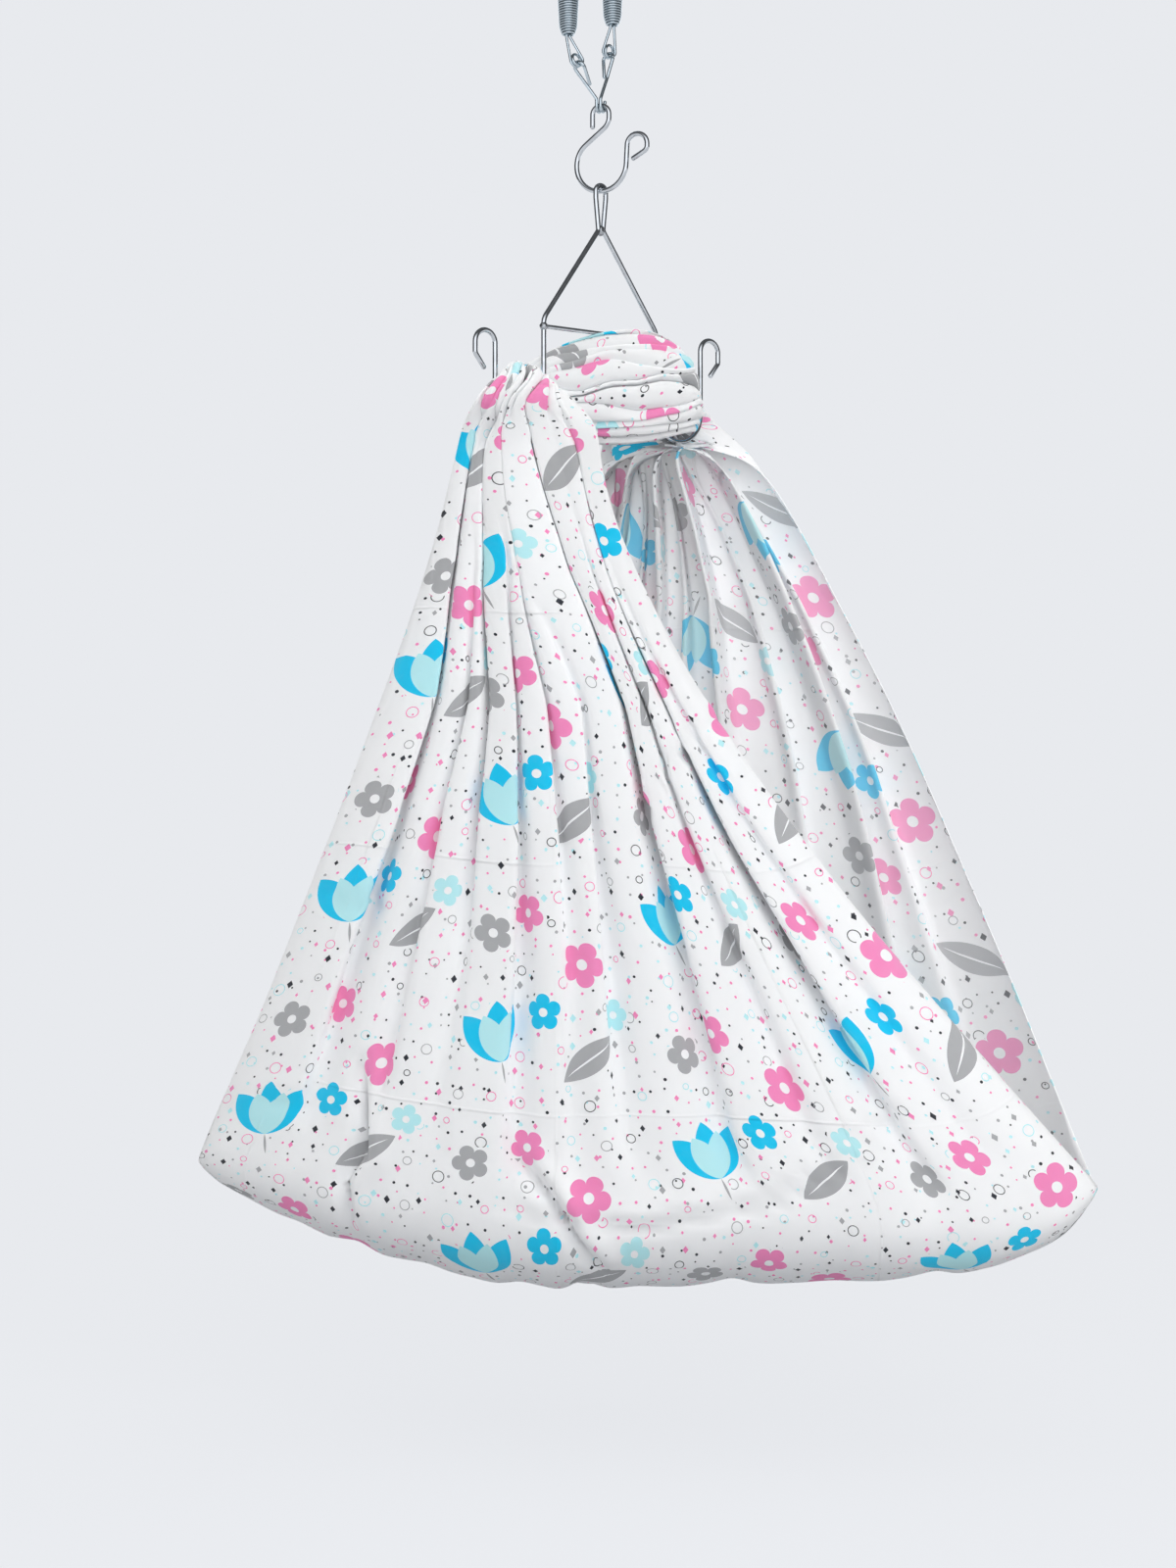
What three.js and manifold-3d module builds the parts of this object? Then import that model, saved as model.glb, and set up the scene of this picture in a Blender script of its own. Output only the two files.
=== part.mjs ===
// A hanging baby cradle: a cloth sling gathered over the two hooks of a bent steel hanger,
// hung by an S-hook and a pair of springs from a second S-hook.
// Millimetres, +Z up, +X to the right and +Y away from someone who faces the cradle.
// The origin is where the top S-hook bears on whatever holds it up.
import * as THREE from "three";
import { mergeVertices } from "three/addons/utils/BufferGeometryUtils.js";
import Module from "manifold-3d";

const wasm = await Module();
wasm.setup();

// Wires
const HOOK_WIRE = 5.5; // S-hooks and hanger
const LINK_WIRE = 3.6;
const EYE_WIRE = 3.0;
const SPRING_WIRE = 2.5;
const CLEARANCE = 0.35; // between pieces that hang in each other
const WIRE_SIDES = 8;
const SMALL_WIRE_SIDES = 6;
const BEND_STEPS = 5; // rings in a quarter turn

// S-hook, along its wire's centreline
const SHOOK_TURN = (-25 * Math.PI) / 180; // of its plane about the vertical
const SHOOK_EYE_RADIUS = 9.2;
const SHOOK_BEND_RADIUS = 27;
const SHOOK_CENTRES = 51; // from the eye's centre to the big bend's centre
const SHOOK_TAIL = 14; // free end of the eye, below its centre
const SHOOK_NECK_DROP = 10;
const SHOOK_NECK_RADIUS = 14;
const SHOOK_SHOULDER_DROP = 37;
const SHOOK_SHOULDER_RADIUS = 25;
const SHOOK_CURL_RADIUS = 10.8;
const SHOOK_CURL_LEAN = 3;
const SHOOK_CURL_TOP = 23; // below the eye's centre
const SHOOK_CURL_HEIGHT = 16.5;
const SHOOK_CURL_CORNER = 6;
const SHOOK_CURL_END_IN = 17;
const SHOOK_CURL_END_DOWN = 9;

// Where the hardware hangs
const UPPER_EYE_X = 0;
const LOWER_EYE_X = 5.5;
const LOWER_ARCH_Z = -344; // top of the lower S-hook's eye, on the centreline
const LINK_SPACING = 2.2; // each link's hook from the middle of the S-hook's eye
const LINK_SEAT = 3; // the links' wires above the S-hook eye's centre

// Springs, side by side
const SPRING_TURNS = 32;
const SPRING_LENGTH = 105; // between the wire's ends, on the centreline
const SPRING_RADIUS = 10.4; // of the coil's centreline, in the body
const SPRING_TAPER_RADIUS = 8.6; // where the end cone starts
const SPRING_MOUTH_RADIUS = 5.4;
const SPRING_TAPER = 34; // length of the slow taper at each end
const SPRING_CONE = 12; // length of the end cone
const COIL_STEPS = 8;
const COIL_SIDES = 5;
const LEFT_SPRING = { x: -27.6, y: -12, mouth: -275 };
const RIGHT_SPRING = { x: 17.4, y: 8, mouth: -260 };

// Swivel eye at each end of a spring
const EYE_RADIUS = 6.3;
const EYE_LENGTH = 27; // from the spring's mouth to the eye's centre
const EYE_LEG_HALF = 2.1; // legs where they pass the spring's mouth
const EYE_FOOT = 4.4; // feet that hold the eye inside the cone
const EYE_FOOT_HEIGHT = 6;
const EYE_TURNS = 1.5;
const EYE_TURN_STEPS = 12; // in a full turn
const EYE_COIL_GAP = 0.5;
const EYE_STRAIGHT = 2; // of the legs, past the mouth
const EYE_LEAN_SHARE = 0.3; // of the way to the S-hook's eye, sideways
const EYE_TWIST = 0.8; // of the eye's plane about the vertical

// Wire link between an eye and an S-hook
const LINK_LOOP_RADIUS = 6.6;
const LINK_THROAT = 20; // from the loop's centre to where its end meets the stem
const LINK_END_SHARE = 0.65; // of the wire's thickness, from the loop's middle to its end
const LINK_STEM_RADIUS = 10;
const LINK_HOOK_RISE = 6;
const LINK_HOOK_ROOM = 0.75; // each side of the S-hook's wire
const LINK_EYE_ROOM = 1.1; // to the swivel eye's wire
const LINK_TWIST = 0; // of the loop, off the swivel eye's own axis

// Hanger, in its own plane
const HANGER_X = 5.5;
const HANGER_TURN = (40 * Math.PI) / 180; // about the vertical
const HANGER_EYE_WIDTH = 13.2; // between the strands' centrelines
const HANGER_NECK_GAP = 6; // the same at the neck
const HANGER_NECK_DROP = 46; // from the eye's top
const HANGER_BEND_DROP = 143;
const HANGER_HALF = 75; // from the middle to each leg
const HANGER_HOOK_WIDTH = 62; // from leg to stem
const HANGER_HOOK_DROP = 254; // from the eye's top to the hooks' lowest point
const HANGER_ELBOW_RADIUS = 16;
const HANGER_NECK_RADIUS = 5;
const HANGER_EYE_RADIUS = 20; // of the easy bend below the eye
const CURL_RADIUS = 12.5;
const LEFT_CURL_DROP = 162; // from the eye's top to the curl's top
const RIGHT_CURL_DROP = 144;
const CURL_SIDE = 11; // straight run down the curl's outer side
const CURL_END_IN = 12;
const CURL_END_DOWN = 15;
const CROSSBAR_DROP = 151;
const CROSSBAR_WIRE = 4.5;
const WELD_BALL = 9.5; // at each end of the crossbar, round the leg
const WELD_STEPS = 10;

// Cloth
const CLOTH_THICKNESS = 2.4;
const SLING_TOP_Z = -690;
const FRONT_TOP = { x: -65, y: -97, half: 67 };
const BACK_TOP = { x: 90, y: 110, half: 80 };
const KEEL_LEFT = { x: -410, y: 48, z: -1432 };
const KEEL_RIGHT = { x: 502, y: -48, z: -1447 };
const KEEL_LOW_Z = -1544;
const KEEL_LOW_SHARE = 0.42; // where along the keel it is lowest
const KEEL_LEFT_POWER = 1.8;
const KEEL_RIGHT_POWER = 8;
const KEEL_RIGHT_TILT_SHARE = 0.22; // of the rise to the right tip, spread evenly
const BELLY_DEPTH = 138; // from the keel to the front or the back
const BELLY_DEPTH_END = 5; // the same at the two tips
const BELLY_ROUND = 92; // height of the round bottom
const BELLY_ROUND_END = 9;
const FRONT_SAG = 70; // of the front's right edge, in from a straight line
const BACK_SAG = -20; // of the back's right edge, which swells outwards
const SAG_POWER = 0.75; // under 1 puts the most sag above the middle
const PLEAT_DEPTH = 36;
const CREST_LIFT = 0.5; // of that depth, from the cloth's middle to a crest
const BELLY_POWER = 0.7; // of how it narrows to the tips
const VALLEY_POWER = 4; // a higher one makes the valleys narrower
const CREASE_SHARE = 0.2; // of the pleats' depth that is left under the keel
const KEEL_GAP = 0.8; // between the front and the back at the keel
const BAND_GAP = 0.7; // between the sling and the band above it
const STRAIGHT_ROWS = 4;
const ROUND_ROWS = 4;
const PLEAT_COLUMNS = 3;

// Each valley between two pleats: its place across the cloth, then how deep it is
// at the gather, a quarter, a half and three quarters of the way down, and at the keel.
const FRONT_VALLEY_SHARES = [
  [0.07, 0.5, 0.5, 0.4, 0.2, 0.1],
  [0.158, 0.9, 1.0, 1.0, 0.9, 0.6],
  [0.245, 1.0, 1.0, 1.0, 0.4, 0.15],
  [0.36, 0.6, 0.7, 0.7, 0.5, 0.3],
  [0.43, 0.3, 0.3, 0.6, 0.6, 0.4],
  [0.49, 0.3, 0.3, 0.4, 0.6, 0.3],
  [0.6, 0.7, 0.7, 0.5, 0.2, 0.15],
  [0.71, 0.5, 0.5, 0.5, 0.15, 0.15],
  [0.82, 0.5, 0.6, 0.3, 0.1, 0.1],
  [0.91, 0.4, 0.3, 0.1, 0.05, 0.05],
];
const BACK_VALLEY_SHARES = [
  [0.1, 0.5, 0.4, 0.2, 0.1, 0.1],
  [0.19, 0.6, 0.6, 0.4, 0.15, 0.1],
  [0.28, 0.7, 0.7, 0.6, 0.3, 0.15],
  [0.38, 0.8, 0.8, 0.7, 0.4, 0.2],
  [0.47, 0.8, 0.9, 0.7, 0.4, 0.3],
  [0.56, 0.9, 0.9, 0.8, 0.5, 0.3],
  [0.66, 1.0, 1.0, 0.9, 0.5, 0.3],
  [0.75, 0.6, 0.5, 0.5, 0.3, 0.2],
  [0.84, 0.7, 0.6, 0.3, 0.2, 0.1],
  [0.92, 0.5, 0.3, 0.2, 0.1, 0.05],
];

// Band: the cloth where it is bunched, up from the front, over the left hook, behind the left
// leg, across to the front of the right leg, over the right hook and down to the back.
const BAND_SIDES = 24;
const BAND_LOBES = 6;
const BAND_LOBE_SHARE = 0.12;
const BAND_STEPS = 2; // rings between two sections
const BAND_SWING = 34; // from the hanger's plane where it passes the legs
const BAND_DEPTH = 23; // half of its depth there
const BAND_HEIGHT = 60; // half of its height there
const BAND_LIFT = 42; // its middle above the hooks' lowest point
const BAND_HOOK_ROOM = 0.6; // inside a hook's wire
// Shares for its sections: the riser between the sling and a hook, the lip of the hook, the turn
// after it, the leg that it passes, and the crossing to its middle. Across, out and up are shares
// of the way there, headings and pitches of a quarter turn, the rest of the size that they follow.
const BAND_SHARES = {
  riser: { across: 0.35, up: 0.5, heading: 0.85, pitch: 0.85, wide: 0.72, high: 1.2 },
  lip: { out: 0.65, pitch: 0.35 },
  turn: { across: 0.25, out: 0.7, up: 0.3, heading: 0.57, wide: 0.92, high: 1.2 },
  leg: { up: 0.7, high: 0.75 },
  crossing: { across: 0.5, out: 0.75, heading: -0.33 },
  middle: { heading: -0.44, high: 0.95 },
};

const CHROME = { color: 0xc9ced2, roughness: 0.16, metalness: 1 };
const ZINC = { color: 0xb9c3c8, roughness: 0.28, metalness: 1 };
const COTTON = { color: 0xf4f5f7, roughness: 0.9, metalness: 0 };

const QUARTER = Math.PI / 2;
const vec = (x, y, z) => new THREE.Vector3(x, y, z);
const mix = (a, b, t) => a + (b - a) * t;

// A path that puts one ring of a swept wire at each given station.
class StationPath extends THREE.Curve {
  constructor(stations) {
    super();
    this.stations = stations;
  }
  getPoint(t) {
    const last = this.stations.length - 1;
    const index = Math.min(Math.floor(t * last), last - 1);
    return this.stations[index].clone().lerp(this.stations[index + 1], t * last - index);
  }
  getPointAt(t) {
    return this.getPoint(t);
  }
  getTangentAt(t) {
    const last = this.stations.length - 1;
    const index = Math.round(t * last);
    const before = this.stations[Math.max(index - 1, 0)];
    return this.stations[Math.min(index + 1, last)].clone().sub(before).normalize();
  }
}

// Stations along a bent wire: [point, bend radius] at each corner, straight between them.
function bentWire(corners) {
  const stations = [corners[0][0].clone()];
  for (let i = 1; i < corners.length - 1; i++) {
    const [corner, radius] = corners[i];
    const into = corner.clone().sub(corners[i - 1][0]).normalize();
    const out = corners[i + 1][0].clone().sub(corner).normalize();
    const turn = into.angleTo(out);
    const axis = into.clone().cross(out).normalize();
    const start = corner.clone().addScaledVector(into, -radius * Math.tan(turn / 2));
    const centre = start.clone().addScaledVector(axis.clone().cross(into), radius);
    const steps = Math.max(2, Math.ceil((turn / QUARTER) * BEND_STEPS));
    for (let k = 0; k <= steps; k++) {
      const spoke = start.clone().sub(centre).applyAxisAngle(axis, (turn * k) / steps);
      const station = centre.clone().add(spoke);
      if (station.distanceTo(stations.at(-1)) > CLEARANCE) stations.push(station);
    }
  }
  stations.push(corners.at(-1)[0].clone());
  return stations;
}

// A round wire, of the given diameter, through its stations.
function wire(stations, diameter, sides = WIRE_SIDES) {
  const ring = [];
  for (let i = 0; i < sides; i++) {
    const angle = (2 * Math.PI * i) / sides;
    ring.push(new THREE.Vector2(Math.cos(angle), Math.sin(angle)).multiplyScalar(diameter / 2));
  }
  return new THREE.ExtrudeGeometry(new THREE.Shape(ring), {
    steps: stations.length - 1,
    extrudePath: new StationPath(stations),
  });
}

// A closed body from rings of points, with a flat end at each end.
function skin(rings) {
  const count = rings[0].length;
  const points = rings.flat();
  const faces = [];
  for (let i = 0; i + 1 < rings.length; i++) {
    for (let j = 0; j < count; j++) {
      const a = i * count + j;
      const b = i * count + ((j + 1) % count);
      faces.push(a, b, b + count, a, b + count, a + count);
    }
  }
  const end = (rings.length - 1) * count;
  for (let j = 1; j + 1 < count; j++) {
    faces.push(0, j + 1, j, end, end + j, end + j + 1);
  }
  const made = new THREE.BufferGeometry().setFromPoints(points);
  made.setIndex(faces);
  return made;
}

// Booleans on closed geometry
function solid(geometry) {
  const bare = geometry.clone();
  bare.deleteAttribute("normal");
  bare.deleteAttribute("uv");
  const merged = mergeVertices(bare);
  return new wasm.Manifold(
    new wasm.Mesh({
      numProp: 3,
      vertProperties: merged.attributes.position.array,
      triVerts: new Uint32Array(merged.index.array),
    }),
  );
}

function geometryOf(body) {
  const { vertProperties, triVerts } = body.getMesh();
  const made = new THREE.BufferGeometry();
  made.setAttribute("position", new THREE.BufferAttribute(vertProperties, 3));
  made.setIndex(new THREE.BufferAttribute(triVerts, 1));
  return made;
}

function piece(name, geometry, look) {
  const made = new THREE.Mesh(geometry, new THREE.MeshStandardMaterial(look));
  made.name = name;
  return made;
}

// S-hook: eye at the top, big bend below, its end curled. The origin is the eye's centre.
function sHookStations() {
  const eye = SHOOK_EYE_RADIUS;
  const bend = SHOOK_BEND_RADIUS;
  const low = -SHOOK_CENTRES - bend;
  const curl = bend + SHOOK_CURL_LEAN;
  const curlFar = curl + 2 * SHOOK_CURL_RADIUS;
  const curlLow = -SHOOK_CURL_TOP - SHOOK_CURL_HEIGHT;
  return bentWire([
    [vec(-eye, 0, -SHOOK_TAIL), 0],
    [vec(-eye, 0, eye), eye],
    [vec(eye, 0, eye), eye],
    [vec(eye, 0, -SHOOK_NECK_DROP), SHOOK_NECK_RADIUS],
    [vec(-bend, 0, -SHOOK_SHOULDER_DROP), SHOOK_SHOULDER_RADIUS],
    [vec(-bend, 0, low), bend],
    [vec(bend, 0, low), bend],
    [vec(curl, 0, -SHOOK_CURL_TOP), SHOOK_CURL_RADIUS],
    [vec(curlFar, 0, -SHOOK_CURL_TOP), SHOOK_CURL_RADIUS],
    [vec(curlFar, 0, curlLow), SHOOK_CURL_CORNER],
    [vec(curlFar - SHOOK_CURL_END_IN, 0, curlLow - SHOOK_CURL_END_DOWN), 0],
  ]);
}

// The coil's centreline radius at a height above its lower mouth.
function coilRadius(height) {
  const fromEnd = Math.min(height, SPRING_LENGTH - height);
  if (fromEnd < SPRING_CONE) {
    return mix(SPRING_MOUTH_RADIUS, SPRING_TAPER_RADIUS, Math.sin((fromEnd / SPRING_CONE) * QUARTER));
  }
  const share = Math.min((fromEnd - SPRING_CONE) / SPRING_TAPER, 1);
  return mix(SPRING_TAPER_RADIUS, SPRING_RADIUS, share);
}

// One spring, its axis on Z and its lower mouth at the origin.
function springCoil() {
  const steps = SPRING_TURNS * COIL_STEPS;
  const centres = [];
  const rings = [];
  for (let i = 0; i <= steps; i++) {
    const angle = (2 * Math.PI * i) / COIL_STEPS;
    const height = (SPRING_LENGTH * i) / steps;
    const out = vec(Math.cos(angle), Math.sin(angle), 0);
    const centre = out.clone().multiplyScalar(coilRadius(height)).setZ(height);
    const ring = [];
    for (let j = 0; j < COIL_SIDES; j++) {
      const around = (2 * Math.PI * j) / COIL_SIDES;
      const point = centre.clone().addScaledVector(out, (Math.cos(around) * SPRING_WIRE) / 2);
      point.z += (Math.sin(around) * SPRING_WIRE) / 2;
      ring.push(point);
    }
    centres.push(centre);
    rings.push(ring.reverse());
  }
  let least = Infinity;
  for (let i = 0; i < centres.length; i++) {
    for (let j = i + COIL_STEPS / 2; j < centres.length; j++) {
      least = Math.min(least, centres[i].distanceTo(centres[j]) - SPRING_WIRE);
    }
  }
  console.log(`least gap between the spring's turns: ${least.toFixed(2)} mm`);
  return skin(rings);
}

// Swivel eye below a spring's mouth, which is the origin: two feet inside the cone, two legs,
// and an eye of one and a half turns. Past the mouth the legs lean over by `lean`.
function swivelEyeStations(lean) {
  const turnGap = EYE_WIRE + EYE_COIL_GAP;
  const half = (EYE_TURNS * turnGap) / 2;
  const stations = [
    vec(EYE_FOOT, -EYE_COIL_GAP, EYE_FOOT_HEIGHT),
    vec(EYE_LEG_HALF + EYE_WIRE / 4, -EYE_COIL_GAP, EYE_FOOT_HEIGHT),
    vec(EYE_LEG_HALF, -EYE_COIL_GAP, EYE_FOOT_HEIGHT - EYE_WIRE / 2),
    vec(EYE_LEG_HALF, -EYE_COIL_GAP, -EYE_STRAIGHT),
  ];
  const steps = EYE_TURNS * EYE_TURN_STEPS;
  for (let i = 0; i <= steps; i++) {
    const angle = (-2 * Math.PI * i) / EYE_TURN_STEPS;
    const across = mix(-half, half, i / steps);
    stations.push(vec(EYE_RADIUS * Math.cos(angle), across, EYE_RADIUS * Math.sin(angle) - EYE_LENGTH));
  }
  stations.push(
    vec(-EYE_LEG_HALF, EYE_COIL_GAP, -EYE_STRAIGHT),
    vec(-EYE_LEG_HALF, EYE_COIL_GAP, EYE_FOOT_HEIGHT - EYE_WIRE / 2),
    vec(-EYE_LEG_HALF - EYE_WIRE / 4, EYE_COIL_GAP, EYE_FOOT_HEIGHT),
    vec(-EYE_FOOT, EYE_COIL_GAP, EYE_FOOT_HEIGHT),
  );
  return stations.map((station) => leaned(station.applyAxisAngle(vec(0, 0, 1), EYE_TWIST), lean));
}

// A point of a swivel eye, leaned over with its legs.
function leaned(point, lean) {
  if (point.z >= -EYE_STRAIGHT) return point;
  point.z += EYE_STRAIGHT;
  point.applyAxisAngle(vec(0, 1, 0), -lean);
  point.z -= EYE_STRAIGHT;
  return point;
}

// A link from an S-hook's eye, whose wire passes `from`, to a swivel eye that bears on it at
// `to`. `side` is 1 where its upper loop closes on the right.
function linkStations(from, to, side) {
  const along = to.clone().sub(from).normalize();
  const around = QUARTER + EYE_TWIST + LINK_TWIST;
  const across = vec(Math.cos(around), Math.sin(around), 0).multiplyScalar(-side);
  across.addScaledVector(along, -across.dot(along)).normalize();
  const through = vec(-Math.sin(SHOOK_TURN), Math.cos(SHOOK_TURN), 0);
  const loopReach = (EYE_WIRE + LINK_WIRE) / 2 + LINK_EYE_ROOM;
  const hookRadius = (HOOK_WIRE + LINK_WIRE) / 2 + LINK_HOOK_ROOM;
  const seat = SHOOK_EYE_RADIUS - LINK_SEAT;
  const loop = to.clone().addScaledVector(along, loopReach - LINK_LOOP_RADIUS);
  const at = (a, b) => loop.clone().addScaledVector(across, a).addScaledVector(along, b);
  const hook = (a, b) => from.clone().addScaledVector(through, a).add(vec(0, 0, b));
  const radius = LINK_LOOP_RADIUS;
  return bentWire([
    [at(LINK_WIRE * LINK_END_SHARE, -LINK_THROAT), 0],
    [at(radius, 0), LINK_STEM_RADIUS],
    [at(radius, radius), radius],
    [at(-radius, radius), radius],
    [at(-radius, 0), LINK_STEM_RADIUS],
    [at(-LINK_WIRE / 2, -LINK_THROAT), LINK_STEM_RADIUS],
    [hook(-hookRadius, LINK_HOOK_RISE), hookRadius],
    [hook(-hookRadius, -seat), hookRadius],
    [hook(hookRadius, -seat), hookRadius],
    [hook(hookRadius, LINK_HOOK_RISE), 0],
  ]);
}

// The swivel eyes and links that join both springs to an S-hook. They are made as they hang
// at the springs' lower ends, and turned over for the upper ends.
function springEnd(name, archX, archZ, over) {
  const group = new THREE.Group();
  const flip = over ? -1 : 1;
  const along = vec(Math.cos(SHOOK_TURN) * LINK_SPACING, Math.sin(SHOOK_TURN) * LINK_SPACING, 0);
  const sides = [
    ["left", LEFT_SPRING, 1],
    ["right", RIGHT_SPRING, -1],
  ];
  for (const [sideName, spring, side] of sides) {
    const mouth = vec(spring.x, spring.y * flip, over ? -spring.mouth - SPRING_LENGTH : spring.mouth);
    const arch = vec(archX, 0, archZ * flip);
    const lean = Math.atan2(EYE_LEAN_SHARE * (arch.x - mouth.x), EYE_LENGTH);
    const eyeWire = wire(swivelEyeStations(lean), EYE_WIRE, SMALL_WIRE_SIDES);
    const eye = piece(`${name}_${sideName}_swivel_eye`, eyeWire, ZINC);
    eye.position.copy(mouth);
    const bearing = leaned(vec(0, 0, -EYE_LENGTH - EYE_RADIUS), lean).add(mouth);
    const from = arch.addScaledVector(along, -side);
    const linkWire = wire(linkStations(from, bearing, side), LINK_WIRE, SMALL_WIRE_SIDES);
    group.add(eye, piece(`${name}_${sideName}_link`, linkWire, ZINC));
  }
  if (over) group.rotation.x = Math.PI;
  return group;
}

// Hanger: one bent rod with its eye at the top, two legs, and two hooks with curled ends.
// The origin is the top of the eye, on the wire's centreline.
function hangerCorners(side, curlDrop) {
  const leg = side * HANGER_HALF;
  const stem = side * (HANGER_HALF + HANGER_HOOK_WIDTH);
  const curl = stem + side * 2 * CURL_RADIUS;
  const neck = (side * HANGER_NECK_GAP) / 2;
  const hook = HANGER_HOOK_WIDTH / 2;
  const eye = HANGER_EYE_WIDTH / 2;
  return [
    [vec(side * eye, 0, 0), eye],
    [vec(side * eye, 0, -2 * eye), HANGER_EYE_RADIUS],
    [vec(neck, 0, -HANGER_NECK_DROP), HANGER_NECK_RADIUS],
    [vec(leg, 0, -HANGER_BEND_DROP), HANGER_ELBOW_RADIUS],
    [vec(leg, 0, -HANGER_HOOK_DROP), hook],
    [vec(stem, 0, -HANGER_HOOK_DROP), hook],
    [vec(stem, 0, -curlDrop), CURL_RADIUS],
    [vec(curl, 0, -curlDrop), CURL_RADIUS],
    [vec(curl, 0, -curlDrop - CURL_RADIUS - CURL_SIDE), CURL_SIDE / 2],
    [vec(curl - side * CURL_END_IN, 0, -curlDrop - CURL_RADIUS - CURL_SIDE - CURL_END_DOWN), 0],
  ];
}

function hangerStations() {
  const left = hangerCorners(-1, LEFT_CURL_DROP).reverse();
  return bentWire([...left, ...hangerCorners(1, RIGHT_CURL_DROP)]);
}

const smooth = (t) => {
  const held = Math.min(Math.max(t, 0), 1);
  return held * held * (3 - 2 * held);
};

// How far along from the keel's lowest point to a tip, from 0 to 1.
function towardsTip(u) {
  const low = KEEL_LOW_SHARE;
  return u < low ? (low - u) / low : (u - low) / (1 - low);
}

function keelPoint(u) {
  const out = towardsTip(u);
  const right = mix(out ** KEEL_RIGHT_POWER, out, KEEL_RIGHT_TILT_SHARE);
  const [tip, share] = u < KEEL_LOW_SHARE ? [KEEL_LEFT, out ** KEEL_LEFT_POWER] : [KEEL_RIGHT, right];
  const z = mix(KEEL_LOW_Z, tip.z, share);
  return vec(mix(KEEL_LEFT.x, KEEL_RIGHT.x, u), mix(KEEL_LEFT.y, KEEL_RIGHT.y, u), z);
}

// Depth of the pleats at a place across the cloth and a share of the way down: 0 on a crest,
// and as deep as the nearest valley's share in a valley.
function valleyAt(valleys, u, down) {
  let depth = 0;
  const edges = [0, ...valleys.map((v) => v[0]), 1];
  for (let k = 1; k <= valleys.length; k++) {
    const reach = u < edges[k] ? edges[k] - edges[k - 1] : edges[k + 1] - edges[k];
    const away = Math.abs(u - edges[k]) / reach;
    if (away >= 1) continue;
    const shares = valleys[k - 1].slice(1);
    const place = down * (shares.length - 1);
    const index = Math.min(Math.floor(place), shares.length - 2);
    const share = mix(shares[index], shares[index + 1], place - index);
    depth += share * Math.cos(away * QUARTER) ** VALLEY_POWER;
  }
  return depth;
}

// The middle of the cloth. `side` is -1 for the front and 1 for the back, u runs from the left
// selvedge to the right one, and down from 0 at the gather to 1 at the keel.
function clothPoint(side, u, down) {
  const top = side < 0 ? FRONT_TOP : BACK_TOP;
  const valleys = side < 0 ? FRONT_VALLEY_SHARES : BACK_VALLEY_SHARES;
  const keel = keelPoint(u);
  const full = (1 - towardsTip(u) ** 2) ** BELLY_POWER;
  const depth = mix(BELLY_DEPTH_END, BELLY_DEPTH, full);
  const round = mix(BELLY_ROUND_END, BELLY_ROUND, full);
  const start = vec(top.x + top.half * (2 * u - 1), top.y, SLING_TOP_Z);
  const crease = vec(keel.x, keel.y + side * depth, keel.z + round);
  const straight = STRAIGHT_ROWS / (STRAIGHT_ROWS + ROUND_ROWS);
  const point = vec(0, 0, 0);
  let turn = 0;
  if (down <= straight) {
    const sag = side < 0 ? FRONT_SAG : BACK_SAG;
    point.lerpVectors(start, crease, down / straight);
    point.x -= sag * Math.sin(Math.PI * (down / straight) ** SAG_POWER) * smooth(2 * u - 1);
  } else {
    const last = Math.acos(Math.min(1, KEEL_GAP / 2 / depth));
    turn = (last * (down - straight)) / (1 - straight);
    point.set(keel.x, keel.y + side * depth * Math.cos(turn), keel.z + round * (1 - Math.sin(turn)));
  }
  const lift = CREST_LIFT - valleyAt(valleys, u, down);
  const room = Math.min(1, depth / PLEAT_DEPTH) * lift * PLEAT_DEPTH;
  const lifted = room * mix(CREASE_SHARE, 1, Math.cos(turn) ** 2);
  return point.add(vec(0, side * Math.cos(turn), -Math.sin(turn)).multiplyScalar(lifted));
}

// The front or the back of the sling, as a thin closed sheet.
function slingPanel(side) {
  const valleys = side < 0 ? FRONT_VALLEY_SHARES : BACK_VALLEY_SHARES;
  const edges = [0, ...valleys.map((v) => v[0]), 1];
  const columns = [];
  for (let k = 0; k + 1 < edges.length; k++) {
    for (let j = 0; j < PLEAT_COLUMNS; j++) {
      columns.push(mix(edges[k], edges[k + 1], j / PLEAT_COLUMNS));
    }
  }
  columns.push(1);
  const rows = STRAIGHT_ROWS + ROUND_ROWS;
  const middle = columns.map((u) => {
    const line = [];
    for (let r = 0; r <= rows; r++) line.push(clothPoint(side, u, r / rows));
    return line;
  });
  const normalAt = (c, r) => {
    const last = Math.min(c + 1, columns.length - 1);
    const across = middle[last][r].clone().sub(middle[Math.max(c - 1, 0)][r]);
    const along = middle[c][Math.min(r + 1, rows)].clone().sub(middle[c][Math.max(r - 1, 0)]);
    return across.cross(along).normalize();
  };
  const rings = [];
  for (let c = 0; c < columns.length; c++) {
    const offset = (r, sign) => {
      return middle[c][r].clone().addScaledVector(normalAt(c, r), (sign * CLOTH_THICKNESS) / 2);
    };
    const ring = [];
    for (let r = 0; r <= rows; r++) ring.push(offset(r, 1));
    for (let r = rows; r >= 0; r--) ring.push(offset(r, -1));
    rings.push(ring.reverse());
  }
  return stripSkin(rings);
}

// As skin(), but its end rings are two rows of points side by side, so they are closed in strips.
function stripSkin(rings) {
  const made = skin(rings);
  const count = rings[0].length;
  const faces = Array.from(made.index.array).slice(0, (rings.length - 1) * count * 6);
  const end = (rings.length - 1) * count;
  for (let j = 0; j + 1 < count / 2; j++) {
    const far = count - 1 - j;
    faces.push(j + 1, j, far, j + 1, far, far - 1);
    faces.push(end + j, end + j + 1, end + far, end + j + 1, end + far - 1, end + far);
  }
  made.setIndex(faces);
  return made;
}

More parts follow.
